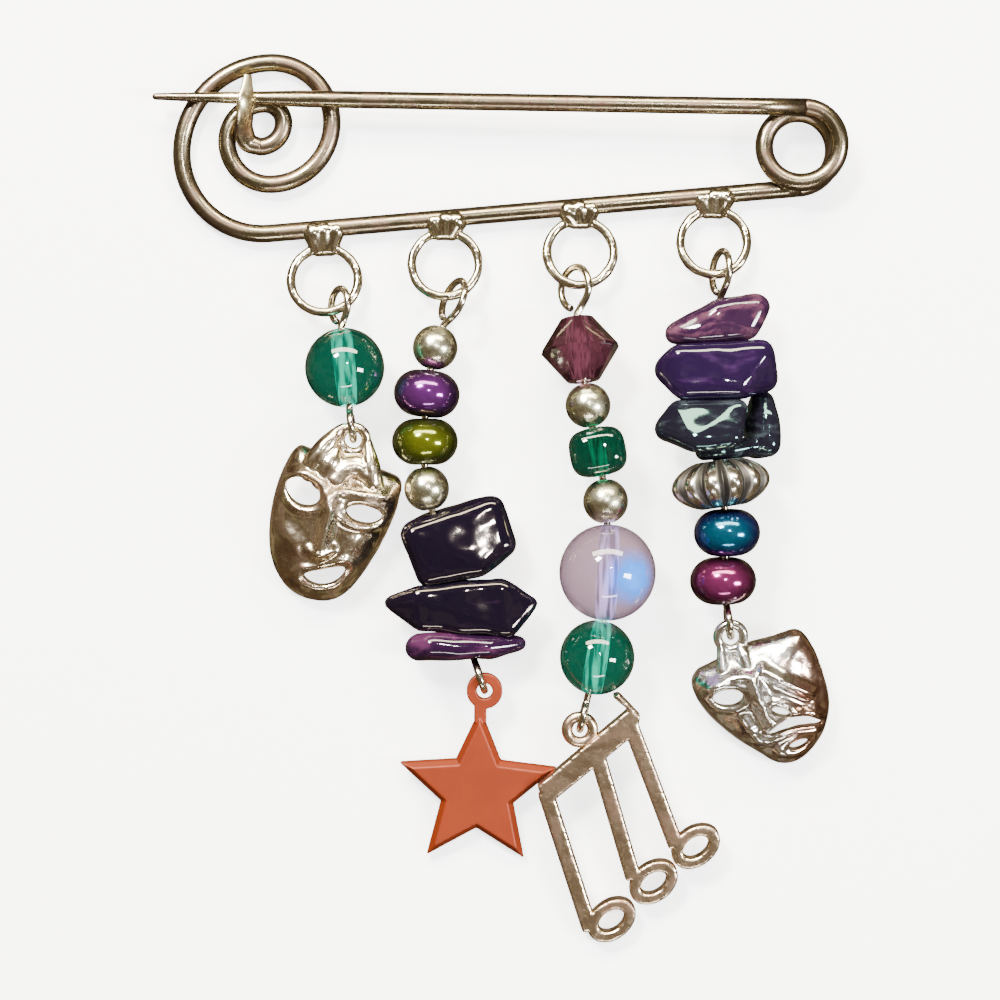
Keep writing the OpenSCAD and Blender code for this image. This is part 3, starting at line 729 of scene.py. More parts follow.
@dataclass(frozen=True)
class GlowingCore:
    """The ground wall of a bead's drilled hole, which shows through clear glass and glows as painted light."""

    name: str
    colour: Point
    bright: float

    def material(self) -> bpy.types.Material:
        """Returns the material."""
        kit = NodeKit(self.name)
        streaks = kit.cloud(kit.stretched(kit.place(), (1, 0.12, 1)), 0.34, 2)
        dim = tuple(c * 0.18 for c in self.colour)
        colour = kit.blend(streaks.between(0.36, 0.62), dim, self.colour)
        # Painted light: the bore wall glows in its own colour, standing in for light gathered by the glass.
        return kit.surface(Base_Color=colour, Roughness=0.35, Emission_Color=colour,
                           Emission_Strength=self.bright)


@dataclass(frozen=True)
class CoatedGlass:
    """Dark glass with a metallic coat that shifts in colour across the bead and has painted shade towards its rim.

    Attributes:
        name: The material's name.
        face: Colour where the bead faces out.
        middle: Colour part of the way to the rim.
        rim: Colour at the rim, a painted shade.
    """

    name: str
    face: Point
    middle: Point
    rim: Point

    def material(self) -> bpy.types.Material:
        """Returns the material."""
        kit = NodeKit(self.name)
        place = kit.place()
        drift = kit.cloud(place, 1.6, 3, 0.4) - 0.5
        # The ramp by facing stands for the coat's colour shift and also paints shade darker towards the rim.
        tone = kit.ramp(kit.facing(0.5) + drift * 0.45,
                        [(0.05, self.face), (0.42, self.middle), (0.85, self.rim)])
        normal = kit.bump(kit.cloud(place, 0.8, 2), 0.02)
        return kit.surface(Base_Color=tone, Metallic=0.75, Roughness=0.14 + drift * 0.1,
                           Normal=normal, Coat_Weight=0.3, Coat_Roughness=0.03)


@dataclass(frozen=True)
class Amethyst:
    """Tumbled, polished stone with cloudy bands.

    Attributes:
        name: The material's name.
        dark: Colour of the deep stone.
        light: Colour of the pale bands.
        clear: Share of the light that passes into it.
        pale: How much of it the pale bands take, from 0 to 1.
        lustre: Colour of its highlights.
    """

    name: str
    dark: Point
    light: Point
    clear: float = 0.0
    pale: float = 0.4
    lustre: Point = (1.0, 1.0, 1.0)

    def material(self) -> bpy.types.Material:
        """Returns the material."""
        kit = NodeKit(self.name)
        place = kit.place()
        bands = kit.cloud(kit.stretched(place, (0.5, 1.6, 1.0)), 2.2, 4, 1.2)
        veins = kit.cloud(place, 0.7, 5, 0.8)
        share = (bands + veins * 0.25).between(0.85 - 0.5 * self.pale, 1.1 - 0.4 * self.pale)
        colour = kit.blend(share, self.dark, self.light)
        normal = kit.bump(kit.cloud(place, 1.8, 2), 0.02)
        return kit.surface(Base_Color=colour, Roughness=0.07 + share * 0.05, IOR=1.55,
                           Normal=normal, Transmission_Weight=self.clear, Specular_Tint=(*self.lustre, 1),
                           Coat_Weight=0.1, Coat_Roughness=0.04)


# Pin wire


@dataclass
class PinWire:
    """The brooch's one thick wire: bar, spiral, catch hook, spring coil and stem."""

    coil: tuple[float, float] = (25.3, 29.4)
    coil_r: float = 3.03
    rear_shift: tuple[float, float] = (0.4, 0.45)
    pitch: float = 1.53
    bar_slope: float = 4.9
    bar_len: float = 44.7
    spiral: tuple[float, ...] = (6.75, 7.6, 5.0, 5.2, 3.6, 3.15, 1.6, 2.0)
    stem_slope: float = 1.06
    stem_lift: float = 1.6
    stem_len: float = 54.4
    taper_len: float = 12.5
    tip_r: float = 0.275
    hook_w: float = 1.85
    hook_t: float = 0.75
    hook_gap: float = 0.15
    ring_r: float = 2.8
    ring_wire_r: float = 0.35
    ring_tilt: float = 12
    rings: tuple[tuple[float, float], ...] = ((-14.7, 4.35), (-4.6, 3.9), (6.7, 3.9), (17.9, 4.0))

    def coil_point(self, degrees: float) -> np.ndarray:
        """Returns the point of the coil's centreline at an angle."""
        a0, a1 = self.bar_slope - 90, 450 - self.stem_slope
        share = smooth_step((degrees - a0) / (a1 - a0))
        a = math.radians(degrees)
        x = self.coil[0] - self.rear_shift[0] * (1 - share)
        y = self.coil[1] - self.rear_shift[1] * (1 - share)
        return np.array([x + self.coil_r * math.cos(a), y + self.coil_r * math.sin(a),
                         WIRE_R + self.pitch * (degrees - a0) / 360])

    @property
    def bar_start(self) -> np.ndarray:
        """Where the bar leaves the coil."""
        return self.coil_point(self.bar_slope - 90)

    @property
    def bar_way(self) -> np.ndarray:
        """Direction of the bar, away from the coil."""
        s = math.radians(self.bar_slope)
        return np.array([-math.cos(s), -math.sin(s), 0])

    def bar_at(self, x: float) -> np.ndarray:
        """Returns the bar's centreline at an X."""
        way = self.bar_way
        return self.bar_start + way * (x - self.bar_start[0]) / way[0]

    def spiral_path(self, steps: int) -> np.ndarray:
        """Makes the flat spiral of quarter turns.

        Args:
            steps: Steps in a quarter turn.

        Returns:
            The centreline from the bar's end to the spiral's inner end.
        """
        start = self.bar_start + self.bar_len * self.bar_way
        points = [start]
        for n, radius in enumerate(self.spiral):
            heading = 180 + self.bar_slope if n == 0 else 180 - 90 * n
            turn = 90 + self.bar_slope if n == 0 else 90
            h = math.radians(heading)
            centre = points[-1] + radius * np.array([math.sin(h), -math.cos(h), 0])
            for k in range(1, steps + 1):
                a = math.radians(heading + 90 - turn * k / steps)
                points.append(centre + radius * np.array([math.cos(a), math.sin(a), 0]))
        return np.array(points)

    def stem_line(self) -> tuple[np.ndarray, np.ndarray]:
        """Returns the stem's start and its direction."""
        start = self.coil_point(450 - self.stem_slope)
        bar_end = self.bar_start + self.bar_len * self.bar_way
        cross_x = self.spiral[1] + self.spiral[2] + bar_end[0] - self.spiral[0]
        drop = (start[2] - WIRE_R - self.stem_lift) / (start[0] - cross_x)
        s = math.radians(self.stem_slope)
        return start, unit(np.array([-math.cos(s), math.sin(s), -drop]))

    def frame_shape(self) -> Shape:
        """Makes the bar, the spiral and the hook."""
        spiral = self.spiral_path(18)
        end = spiral[-1]
        start, way = self.stem_line()
        over = start + way * (start[0] - (end[0] - 0.9)) / -way[0]
        top = over[2] + WIRE_R + self.hook_gap + self.hook_t / 2
        hook = open_curve([
            end, end + [-0.95, 0.35, 0.35], end + [-1.25, 1.25, 1.25],
            [end[0] - 1.1, over[1] - 1.75, top - 0.6], [end[0] - 0.95, over[1] - 0.75, top],
            [end[0] - 0.85, over[1] + 0.4, top + 0.02], [end[0] - 0.8, over[1] + 1.75, top - 0.08],
        ], 9)
        bar = np.linspace(self.bar_start, spiral[0], 40)[:-1]
        path = np.vstack([bar, spiral, hook[1:]])
        share = np.linspace(0, 1, len(hook))[1:]
        sizes = np.full((len(path), 2), WIRE_R)
        rise = smooth_step(np.clip(share / 0.55, 0, 1))
        thin = smooth_step(np.clip((share - 0.55) / 0.45, 0, 1))
        narrow = smooth_step(np.clip((share - 0.72) / 0.28, 0, 1))
        wide = WIRE_R + (self.hook_w / 2 - WIRE_R) * smooth_step(np.clip(share / 0.3, 0, 1))
        deep = WIRE_R + (self.hook_t / 2 - WIRE_R) * rise
        sizes[-len(share):, 0] = wide + (0.42 - wide) * narrow
        sizes[-len(share):, 1] = deep + (0.3 - deep) * thin
        return Shape().tube(path, sizes, (0, 0, 1), 24)

    def coil_shape(self) -> Shape:
        """Makes the spring coil."""
        angles = np.linspace(self.bar_slope - 90, 450 - self.stem_slope, 220)
        path = np.array([self.coil_point(a) for a in angles])
        return Shape().tube(path, np.full((len(path), 2), WIRE_R), (0, 0, 1), 24)

    def stem_shape(self) -> Shape:
        """Makes the stem, from the coil to its blunt point."""
        start, way = self.stem_line()
        taper_at = self.stem_len - self.taper_len
        stations = [(0, 0.75), (4.6, 0.72), (38.2, 0.72), (taper_at, 0.698)]
        stations += [(taper_at + self.taper_len * t, 0.698 + (self.tip_r - 0.698) * t)
                     for t in (0.25, 0.5, 0.75, 0.96)]
        stations += [(self.stem_len - self.tip_r * (1 - math.sin(math.radians(a))),
                      self.tip_r * math.cos(math.radians(a))) for a in (10, 35, 60, 80)]
        path = np.array([start + way * s for s, _ in stations])
        return Shape().tube(path, np.array([(r, r) for _, r in stations]), (0, 0, 1), 24)

    def ring_centre(self, i: int) -> np.ndarray:
        """Returns the middle of a soldered ring."""
        x, below = self.rings[i]
        return self.bar_at(x) + [0, -below, self.ring_r * math.sin(math.radians(self.ring_tilt))]

    def route(self, number: int, places: Sequence[Point]) -> np.ndarray:
        """Places a drop under its ring.

        Args:
            number: The drop's number, from 1.
            places: Places across and along from the ring's middle, and up from the surface.

        Returns:
            The places in the frame, one a row.
        """
        middle = self.ring_centre(number - 1) * [1, 1, 0]
        return np.array(places, float) + middle

    def ring_shape(self, i: int) -> Shape:
        """Makes a ring with its lump of solder, run out along the bar."""
        c = self.ring_centre(i)
        shape = Shape().torus(self.ring_r, self.ring_wire_r)
        shape.placed(turn_x(-self.ring_tilt), c)
        near = c + [0, self.ring_r * math.cos(math.radians(self.ring_tilt)) - 0.1,
                    -self.ring_r * math.sin(math.radians(self.ring_tilt))]
        for side in (-1, 0, 1):
            bar = self.bar_at(c[0] + side * 0.95) + [0, -0.22 - 0.1 * abs(side), 0.2]
            low = near + [side * 0.5, 0, 0]
            size = 0.8 - 0.08 * side * (-1) ** i
            for t in np.linspace(0, 1, 7):
                shape.ball(bar + (low - bar) * t, size + (0.6 - size) * t)
        return shape

    def dress(self, wire: Silver, solder: Silver) -> None:
        """Builds the wire's pieces.

        Args:
            wire: Finish of the wire.
            solder: Finish of the rings and their solder.
        """
        silver, bright = wire.material(), solder.material()
        whole = piece("pin_frame", self.frame_shape().mesh("pin_frame"), [silver],
                      ["frame_wire"])
        whole["made_of"] = "one wire"
        for i in range(len(self.rings)):
            mesh = roughened(fused(self.ring_shape(i).mesh("ring"), 0.09, 18, 0.05), 1.1, 0.14,
                             i * 3.1)
            piece(f"soldered_ring_{i + 1}", mesh, [bright], [])
        coil = piece("spring_turns", self.coil_shape().mesh("spring_turns"), [silver],
                     ["spring_coil"], None)
        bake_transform(coil)
        piece("pin_point", self.stem_shape().mesh("pin_point"), [silver],
              ["pin_stem"], STEM)


# Bead drops


class BeadForm(Enum):
    """The forms of bead on the drops."""

    ROUND = "round"
    SEED = "seed"
    BICONE = "bicone"
    CUBE = "cube"
    FLUTED = "fluted"


@dataclass
class Bead:
    """One bead.

    Attributes:
        node: The CAD node it stands for.
        form: Its form.
        across: Its diameter or width.
        length: Its length along the hole.
        at: Its place on the drop's route.
        finish: Its material.
        slot: The record's material slot; not used.
        core: Material of its drilled hole, if it shows; it glows as painted light.
    """

    node: str
    form: BeadForm
    across: float
    length: float
    at: int
    finish: bpy.types.Material
    slot: str
    core: bpy.types.Material | None = None

    def shape(self) -> Shape:
        """Makes the bead about Z."""
        makers = {
            BeadForm.ROUND: self._round, BeadForm.SEED: self._seed, BeadForm.BICONE: self._bicone,
            BeadForm.CUBE: self._cube, BeadForm.FLUTED: self._fluted,
        }
        return makers[self.form]()

    def _round(self) -> Shape:
        """Makes a drilled ball."""
        r = self.across / 2
        edge = math.asin(BORE_R / r)
        angles = np.linspace(edge, math.pi - edge, 40)
        profile = [(r * math.sin(a), -r * math.cos(a)) for a in angles]
        return Shape().lathe(profile, 72, [0] * 39 + [1 if self.core else 0])

    def _seed(self) -> Shape:
        """Makes a fat ring of glass with rounded sides."""
        fat = self.length / 2
        mid = self.across / 2 - fat
        back = math.acos(max((BORE_R - mid) / fat, -1))
        angles = np.linspace(-back, back, 44)
        profile = [(mid + fat * math.cos(a), fat * math.sin(a)) for a in angles]
        return Shape().lathe(profile, 72)

    def _bicone(self) -> Shape:
        """Makes a cut bead of two facet rows on each half."""
        sides, r, half = 12, self.across / 2, self.length / 2
        rows = [(BORE_R, -half), (r * 0.42, -half), (r, -0.12), (r, 0.12), (r * 0.42, half),
                (BORE_R, half)]
        shape = Shape().lathe(rows, sides, [0, 0, 0, 0, 0, 1])
        points = shape.points[0].reshape(len(rows), sides, 3)
        turn = math.radians(360 / sides / 2)
        c, s = math.cos(turn), math.sin(turn)
        spin = np.array([[c, -s, 0], [s, c, 0], [0, 0, 1]])
        points[:3] = points[:3] @ spin.T
        faces: Faces = []
        finishes: list[int] = []
        n = len(rows)
        for i in range(n):
            for k in range(sides):
                a, b = i * sides + k, i * sides + (k + 1) % sides
                d, e = (i + 1) % n * sides + k, (i + 1) % n * sides + (k + 1) % sides
                faces += [(a, b, e), (a, e, d)]
                finishes += [1 if i == n - 1 else 0] * 2
        shape.faces, shape.finishes, shape.points = faces, finishes, [points.reshape(-1, 3)]
        return shape

    def _cube(self) -> Shape:
        """Makes a cube with round edges and a drilled hole."""
        half, count = self.across / 2, 64
        a = 2 * np.pi * np.arange(count) / count
        power = 3.2
        reach = (np.abs(np.cos(a)) ** power + np.abs(np.sin(a)) ** power) ** (-1 / power)
        rows = []
        for t in np.linspace(-1, 1, 21):
            z = math.copysign(abs(math.sin(t * math.pi / 2)) ** 0.8, t)
            share = max(1 - abs(z) ** power, 0) ** (1 / power)
            rows.append((max(share, 0.33), z * self.length / 2))
        grid = []
        for share, z in rows:
            r = np.maximum(half * reach * share, BORE_R)
            grid.append(np.stack([r * np.cos(a), r * np.sin(a), np.full(count, z)], 1))
        for z in (self.length / 2, -self.length / 2):
            grid.append(np.stack([BORE_R * np.cos(a), BORE_R * np.sin(a), np.full(count, z)], 1))
        n = len(grid)
        faces = [
            (i * count + k, i * count + (k + 1) % count,
             (i + 1) % n * count + (k + 1) % count, (i + 1) % n * count + k)
            for i in range(n) for k in range(count)
        ]
        shape = Shape().add(np.vstack(grid), faces)
        shape.finishes = [1 if n - 2 <= i // count < n - 1 and self.core else 0
                          for i in range(n * count)]
        return shape

    def _fluted(self) -> Shape:
        """Makes a flattened bead with grooves round it."""
        r, half = self.across / 2, self.length / 2
        shares = np.linspace(-1, 1, 33)
        rows = [(r * (0.44 + 0.56 * max(1 - t * t, 0) ** 0.8), t * half) for t in shares]
        profile = [(BORE_R, -half)] + rows + [(BORE_R, half)]
        return Shape().lathe(profile, 288, flutes=Flutes(12, 0.17, r))

    def build(self, route: np.ndarray) -> None:
        """Makes the piece on a drop's route."""
        way = route[self.at + 1] - route[self.at - 1]
        shape = self.shape()
        local = np.vstack(shape.points)
        mesh = shape.placed(turn_along(way), route[self.at]).mesh(self.node)
        if self.form is BeadForm.FLUTED:
            reach = np.hypot(local[:, 0], local[:, 1])
            t = np.clip(np.abs(local[:, 2]) / (self.length / 2), 0, 1)
            full = self.across / 2 * (0.44 + 0.56 * np.maximum(1 - t * t, 0) ** 0.8)
            depth = np.clip((1 - reach / full) / 0.12, 0, 1)
            layer = mesh.color_attributes.new("groove", "FLOAT_COLOR", "POINT")
            layer.data.foreach_set("color",
                                   np.stack([depth] * 3 + [np.ones(len(depth))], 1).ravel())
        if self.form is BeadForm.BICONE:
            mesh.polygons.foreach_set("use_smooth", [False] * len(mesh.polygons))
        finishes = [self.finish] + ([self.core] if self.core else [self.finish])
        piece(self.node + "_shown", mesh, finishes, [self.node])


@dataclass
class StoneChip:
    """A tumbled stone chip, softened from its CAD solid."""

    node: str
    finish: bpy.types.Material
    slot: str
    seed: float = 0.0

    def build(self) -> None:
        """Makes the piece."""
        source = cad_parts[self.node].data.copy()
        mesh = roughened(fused(source, 0.12, 34, 0.26), 1.9, 0.2, self.seed)
        piece(self.node + "_shown", mesh, [self.finish], [self.node])


@dataclass
class EyePin:
    """The thin wire through a drop's beads, with an eye at each end."""

    node: str
    route: np.ndarray
    upper_r: float
    upper_lean: float

    @staticmethod
    def eye(centre: np.ndarray, up: np.ndarray, lean: float, radius: float) -> np.ndarray:
        """Makes an eye.

        Args:
            centre: Its middle.
            up: Direction from its neck.
            lean: Lean of its plane, in degrees.
            radius: Its radius.

        Returns:
            Its centreline, from the neck round.
        """
        flat = unit(np.cross(up, [0, 0, 1]))
        high = np.cross(flat, up)
        a = math.radians(lean)
        side = math.cos(a) * flat + math.sin(a) * high
        stop = 180 + math.degrees(math.acos((2 * EYE_WIRE_R + 0.1) / radius))
        turns = np.radians(np.linspace(-50, stop, 60))
        return centre + radius * (np.cos(turns)[:, None] * side + np.sin(turns)[:, None] * up)

    def path(self) -> np.ndarray:
        """Returns the wire's whole centreline."""
        r = self.route
        up, down = unit(r[0] - r[1]), unit(r[-1] - r[-2])
        top = self.eye(r[0], up, self.upper_lean, self.upper_r)
        low = self.eye(r[-1], down, 90, LOW_EYE_R)
        necks = [r[0] - (self.upper_r + 0.45) * up, r[-1] - (LOW_EYE_R + 0.45) * down]
        shaft = open_curve([necks[0], *r[1:-1], necks[1]], 12)
        return np.vstack([top[::-1], shaft, low])

    def build(self, finish: bpy.types.Material) -> None:
        """Makes the piece."""
        path = self.path()
        up = unit(self.route[0] - self.route[1])
        shape = Shape().tube(path, np.full((len(path), 2), EYE_WIRE_R), up + [0.3, 0.2, 0.9], 14)
        piece(self.node + "_shown", shape.mesh(self.node), [finish], [self.node])


# Charms


@dataclass
class Hanger:
    """The place where a charm hangs from a drop's lower eye."""

    route: np.ndarray
    lean: float

    def place(self, shape: Shape) -> Shape:
        """Leans a shape and moves it to the eye."""
        d = self.route[-1] - self.route[-2]
        point = self.route[-1] + LOW_EYE_R * unit(np.array([d[0], d[1], 0]))
        return shape.placed(turn_x(self.lean), point)


@dataclass(frozen=True)
class Opening:
    """An eye or mouth cut through a mask."""

    centre: tuple[float, float]
    width: float
    height: float
    turn: float
    bend: float = 0.0

    def local(self, xy: np.ndarray) -> np.ndarray:
        """Returns points in the opening's own frame."""
        a = math.radians(self.turn)
        q = xy - np.array(self.centre)
        return np.stack([q[:, 0] * math.cos(a) + q[:, 1] * math.sin(a),
                         -q[:, 0] * math.sin(a) + q[:, 1] * math.cos(a)], 1)

    def outline(self, steps: int = 40) -> np.ndarray:
        """Returns the opening's edge, bent about its middle."""
        t = 2 * np.pi * np.arange(steps) / steps
        x, y = self.width / 2 * np.cos(t), self.height / 2 * np.sin(t)
        y = y + self.bend * (1 - (2 * x / self.width) ** 2)
        a = math.radians(self.turn)
        return np.stack([self.centre[0] + x * math.cos(a) - y * math.sin(a),
                         self.centre[1] + x * math.sin(a) + y * math.cos(a)], 1)

    def rim(self, xy: np.ndarray, wide: float) -> np.ndarray:
        """Returns a soft rise that runs round the opening."""
        q = self.local(xy)
        y = q[:, 1] - self.bend * (1 - np.clip(2 * q[:, 0] / self.width, -1, 1) ** 2)
        r = np.sqrt((2 * q[:, 0] / self.width) ** 2 + (2 * y / self.height) ** 2)
        s = (r - 1) * min(self.width, self.height) / 2 - wide
        return np.exp(-((s / wide) ** 2))


@dataclass(frozen=True)
class Ridge:
    """A soft raised or sunk line on a mask, through points."""

    points: tuple[tuple[float, float], ...]
    wide: float
    high: float

    def at(self, xy: np.ndarray) -> np.ndarray:
        """Returns its height at points."""
        line = open_curve(self.points, 8)
        near = np.full(len(xy), 1e9)
        for a, b in zip(line[:-1], line[1:]):
            d = b - a
            t = np.clip(((xy - a) @ d) / (d @ d), 0, 1)[:, None]
            near = np.minimum(near, np.linalg.norm(xy - a - t * d, axis=1))
        return self.high * np.exp(-((near / self.wide) ** 2))


@dataclass
class Mask:
    """A cast theatre mask: a domed shell with a modelled face and a hanging loop."""

    node: str
    outline: tuple[tuple[float, float], ...]
    centre: tuple[float, float]
    dome: float
    drop: float
    openings: tuple[Opening, ...]
    ridges: tuple[Ridge, ...]
    necks: tuple[tuple[tuple[float, float, float, float], ...], ...]
    wall: float = 0.8
    edge: float = 0.75
    grid: float = 0.22

    def share(self, xy: np.ndarray, around: np.ndarray) -> np.ndarray:
        """Returns how far points lie from the centre, 1 at the outline."""
        c = np.array(self.centre)
        q, edge = xy - c, around - c
        angles = np.arctan2(edge[:, 1], edge[:, 0])
        order = np.argsort(angles)
        reach = np.interp(np.arctan2(q[:, 1], q[:, 0]), angles[order],
                          np.linalg.norm(edge, axis=1)[order], period=2 * np.pi)
        return np.linalg.norm(q, axis=1) / reach

    def heights(self, xy: np.ndarray, around: np.ndarray) -> tuple[np.ndarray, np.ndarray]:
        """Finds the two faces of the shell.

        Args:
            xy: Points in the mask's plane.
            around: The outline.

        Returns:
            The heights of the outer and the inner face.
        """
        k = np.clip(self.share(xy, around), 0, 1)
        base = self.edge + (self.dome - self.edge) * (1 - k**2) ** 0.62
        relief = sum(r.at(xy) for r in self.ridges)
        relief = relief + 0.38 * sum(o.rim(xy, 0.33) for o in self.openings)
        outer = base + relief * (1 - k**6)
        inner = np.clip(base - self.wall, 0.0, None) * np.clip((0.98 - k) / 0.06, 0, 1)
        return outer, inner

    def shell(self) -> Shape:
        """Makes the pierced shell in the mask's own frame."""
        around = closed_curve(self.outline, 10)
        loops = [around] + [o.outline() for o in self.openings]
        low, high = around.min(0), around.max(0)
        xs = np.arange(low[0], high[0], self.grid)
        ys = np.arange(low[1], high[1], self.grid)
        grid = np.array([(x + (j % 2) * self.grid / 2, y) for j, y in enumerate(ys) for x in xs])
        keep = inside(grid, around)
        for loop in loops[1:]:
            keep &= ~inside(grid, loop)
        for loop in loops:
            gap = np.min(np.linalg.norm(grid[:, None] - loop[None], axis=2), axis=1)
            keep &= gap > self.grid * 0.45
        points = np.vstack(loops + [grid[keep]])
        edges, start = [], 0
        for loop in loops:
            n = len(loop)
            edges += [(start + i, start + (i + 1) % n) for i in range(n)]
            start += n
        cut = delaunay_2d_cdt([Vector(p) for p in points], edges, [], 0, 1e-6)
        xy = np.array([tuple(v) for v in cut[0]])
        faces = np.array(cut[2])
        middles = xy[faces].mean(axis=1)
        good = inside(middles, around)
        for loop in loops[1:]:
            good &= ~inside(middles, loop)
        faces = faces[good]
        return self._thickened(xy, faces, around)

    def _thickened(self, xy: np.ndarray, faces: np.ndarray, around: np.ndarray) -> Shape:
        """Gives a flat net of triangles its two faces and its edges."""
        turn = np.cross(xy[faces[:, 1]] - xy[faces[:, 0]], xy[faces[:, 2]] - xy[faces[:, 0]])
        faces = np.where((turn < 0)[:, None], faces[:, ::-1], faces)
        outer, inner = self.heights(xy, around)
        n = len(xy)
        points = np.vstack([np.column_stack([xy, outer]), np.column_stack([xy, inner])])
        sides = {}
        for f in faces:
            for a, b in ((f[0], f[1]), (f[1], f[2]), (f[2], f[0])):
                sides[(a, b)] = sides.get((a, b), 0) + 1
        rim = [(a, b) for a, b in sides if (b, a) not in sides]
        made = [tuple(int(i) for i in f) for f in faces]
        made += [tuple(int(i) + n for i in f[::-1]) for f in faces]
        made += [(int(b), int(a), int(a) + n, int(b) + n) for a, b in rim]
        return Shape().add(points, made)

    def build(self, hanger: Hanger, finish: bpy.types.Material) -> None:
        """Makes the piece."""
        shape = self.shell()
        for neck in self.necks:
            stations = open_curve(neck, 8)
            for x, y, z, r in stations:
                shape.ball((x, y, z), r)
        shape.placed(np.eye(3), (0, 0, -self.drop))
        shape.joined(Shape().torus(BAIL_R, BAIL_WIRE_R, 60, 16))
        mesh = fused(hanger.place(shape).mesh(self.node), 0.085, 4)
        piece(self.node + "_shown", roughened(mesh, 0.7, 0.05, 1.7), [finish],
              [self.node])


def inside(points: np.ndarray, loop: np.ndarray) -> np.ndarray:
    """Tells which points lie inside a loop."""
    x, y = points[:, 0][:, None], points[:, 1][:, None]
    a, b = loop, np.roll(loop, -1, axis=0)
    crosses = (a[:, 1] > y) != (b[:, 1] > y)
    with np.errstate(divide="ignore", invalid="ignore"):
        at = a[:, 0] + (y - a[:, 1]) * (b[:, 0] - a[:, 0]) / (b[:, 1] - a[:, 1])
    return (crosses & (x < at)).sum(axis=1) % 2 == 1


BAIL_R, BAIL_WIRE_R = 1.08, 0.4


@dataclass
class FlatCharm:
    """A flat charm, softened from its CAD solid."""

    node: str
    slot: str
    voxel: float
    passes: int
    swell: float

    def build(self, finish: bpy.types.Material) -> None:
        """Makes the piece."""
        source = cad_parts[self.node].data.copy()
        mesh = fused(source, self.voxel, self.passes, self.swell)
        piece(self.node + "_shown", mesh, [finish], [self.node])


@dataclass
class Drop:
    """One bead drop: its eye pin, its beads or chips, and its charm."""

    number: int
    route: np.ndarray
    upper_r: float
    upper_lean: float
    beads: list[Bead | StoneChip]

    def build(self, wire: bpy.types.Material) -> None:
        """Makes the drop's wire and beads."""
        EyePin(f"drop{self.number}_wire", self.route, self.upper_r, self.upper_lean).build(wire)
        for bead in self.beads:
            bead.build(self.route) if isinstance(bead, Bead) else bead.build()


# Studio


@dataclass
class Studio:
    """The pale surface, the soft lights and the camera straight above."""

    span: float = 1000 / 12
    centre: tuple[float, float] = (0.0, -0.25)
    lens: float = 110.0
    plane: float = 2.5
    room_glow: float = 0.4
    room_tones: tuple[tuple[float, Point], ...] = (
        (0.34, (0.03, 0.02, 0.016)), (0.44, (0.36, 0.19, 0.11)), (0.51, (0.13, 0.125, 0.045)),
        (0.59, (0.85, 0.70, 0.42)), (0.70, (0.36, 0.20, 0.23)),
    )

    def floor(self) -> None:
        """Lays the pale surface that the brooch lies on."""
        kit = NodeKit("pale_surface")
        material = kit.surface(Base_Color=(0.93, 0.93, 0.93, 1), Roughness=0.9,
                               Emission_Color=(1, 1, 1, 1), Emission_Strength=3.0)
        mesh = bpy.data.meshes.new("pale_surface")
        half = 1.2
        mesh.from_pydata([(-half, -half, 0), (half, -half, 0), (half, half, 0),
                          (-half, half, 0)], [], [(0, 1, 2, 3)])
        mesh.materials.append(material)
        obj = bpy.data.objects.new("pale_surface", mesh)
        bpy.context.scene.collection.objects.link(obj)
        obj.visible_glossy = obj.visible_diffuse = False

    def light(self, name: str, place: Point, size: Point, power: float, colour: Point) -> None:
        """Hangs a soft box that looks at the brooch.

        Args:
            name: Its name.
            place: Its place, in millimetres.
            size: Its two sides, in millimetres.
            power: Its power in watts.
            colour: Its colour.
        """
        data = bpy.data.lights.new(name, "AREA")
        data.shape, data.size, data.size_y = "RECTANGLE", size[0] * MM, size[1] * MM
        data.energy, data.color = power, tuple(colour)
        obj = bpy.data.objects.new(name, data)
        obj.location = [c * MM for c in place]
        obj.rotation_euler = (-obj.location).to_track_quat("-Z", "Y").to_euler()
        bpy.context.scene.collection.objects.link(obj)

    def sky(self) -> None:
        """Fills the room with warm, uneven tones for the metal to mirror."""
        world = bpy.data.worlds.new("room")
        world.use_nodes = True
        bpy.context.scene.world = world
        tree = world.node_tree
        coord = tree.nodes.new("ShaderNodeTexCoord")
        cloud = tree.nodes.new("ShaderNodeTexNoise")
        cloud.inputs["Scale"].default_value, cloud.inputs["Detail"].default_value = 2.6, 2.0
        tone = tree.nodes.new("ShaderNodeValToRGB")
        NodeKit.fill_ramp(tone.color_ramp, self.room_tones)
        background = tree.nodes["Background"]
        background.inputs["Strength"].default_value = self.room_glow
        tree.links.new(coord.outputs["Generated"], cloud.inputs["Vector"])
        tree.links.new(cloud.outputs[0], tone.inputs[0])
        tree.links.new(tone.outputs[0], background.inputs["Color"])

    def camera(self) -> None:
        """Hangs the camera straight above the brooch."""
        data = bpy.data.cameras.new("above")
        data.lens, data.sensor_width = self.lens, 36.0
        distance = self.span * self.lens / 36.0 + self.plane
        data.clip_start, data.clip_end = 0.01, 10
        obj = bpy.data.objects.new("above", data)
        obj.location = (self.centre[0] * MM, self.centre[1] * MM, distance * MM)
        bpy.context.scene.collection.objects.link(obj)
        bpy.context.scene.camera = obj

    def build(self) -> None:
        """Sets the whole studio."""
        self.floor()
        self.sky()
        self.light("key", (-200, 300, 420), (120, 90), 8.0, (1.0, 0.98, 0.95))
        self.light("fill", (360, -60, 330), (80, 160), 4.0, (0.98, 0.99, 1.0))
        self.light("strip", (40, -420, 260), (260, 36), 1.0, (1.0, 0.97, 0.92))
        self.light("back strip", (0, 380, 300), (620, 110), 9.0, (1.0, 0.93, 0.70))
        self.light("spot", (60, 90, 420), (20, 20), 0.7, (1.0, 1.0, 1.0))
        self.camera()


# The brooch


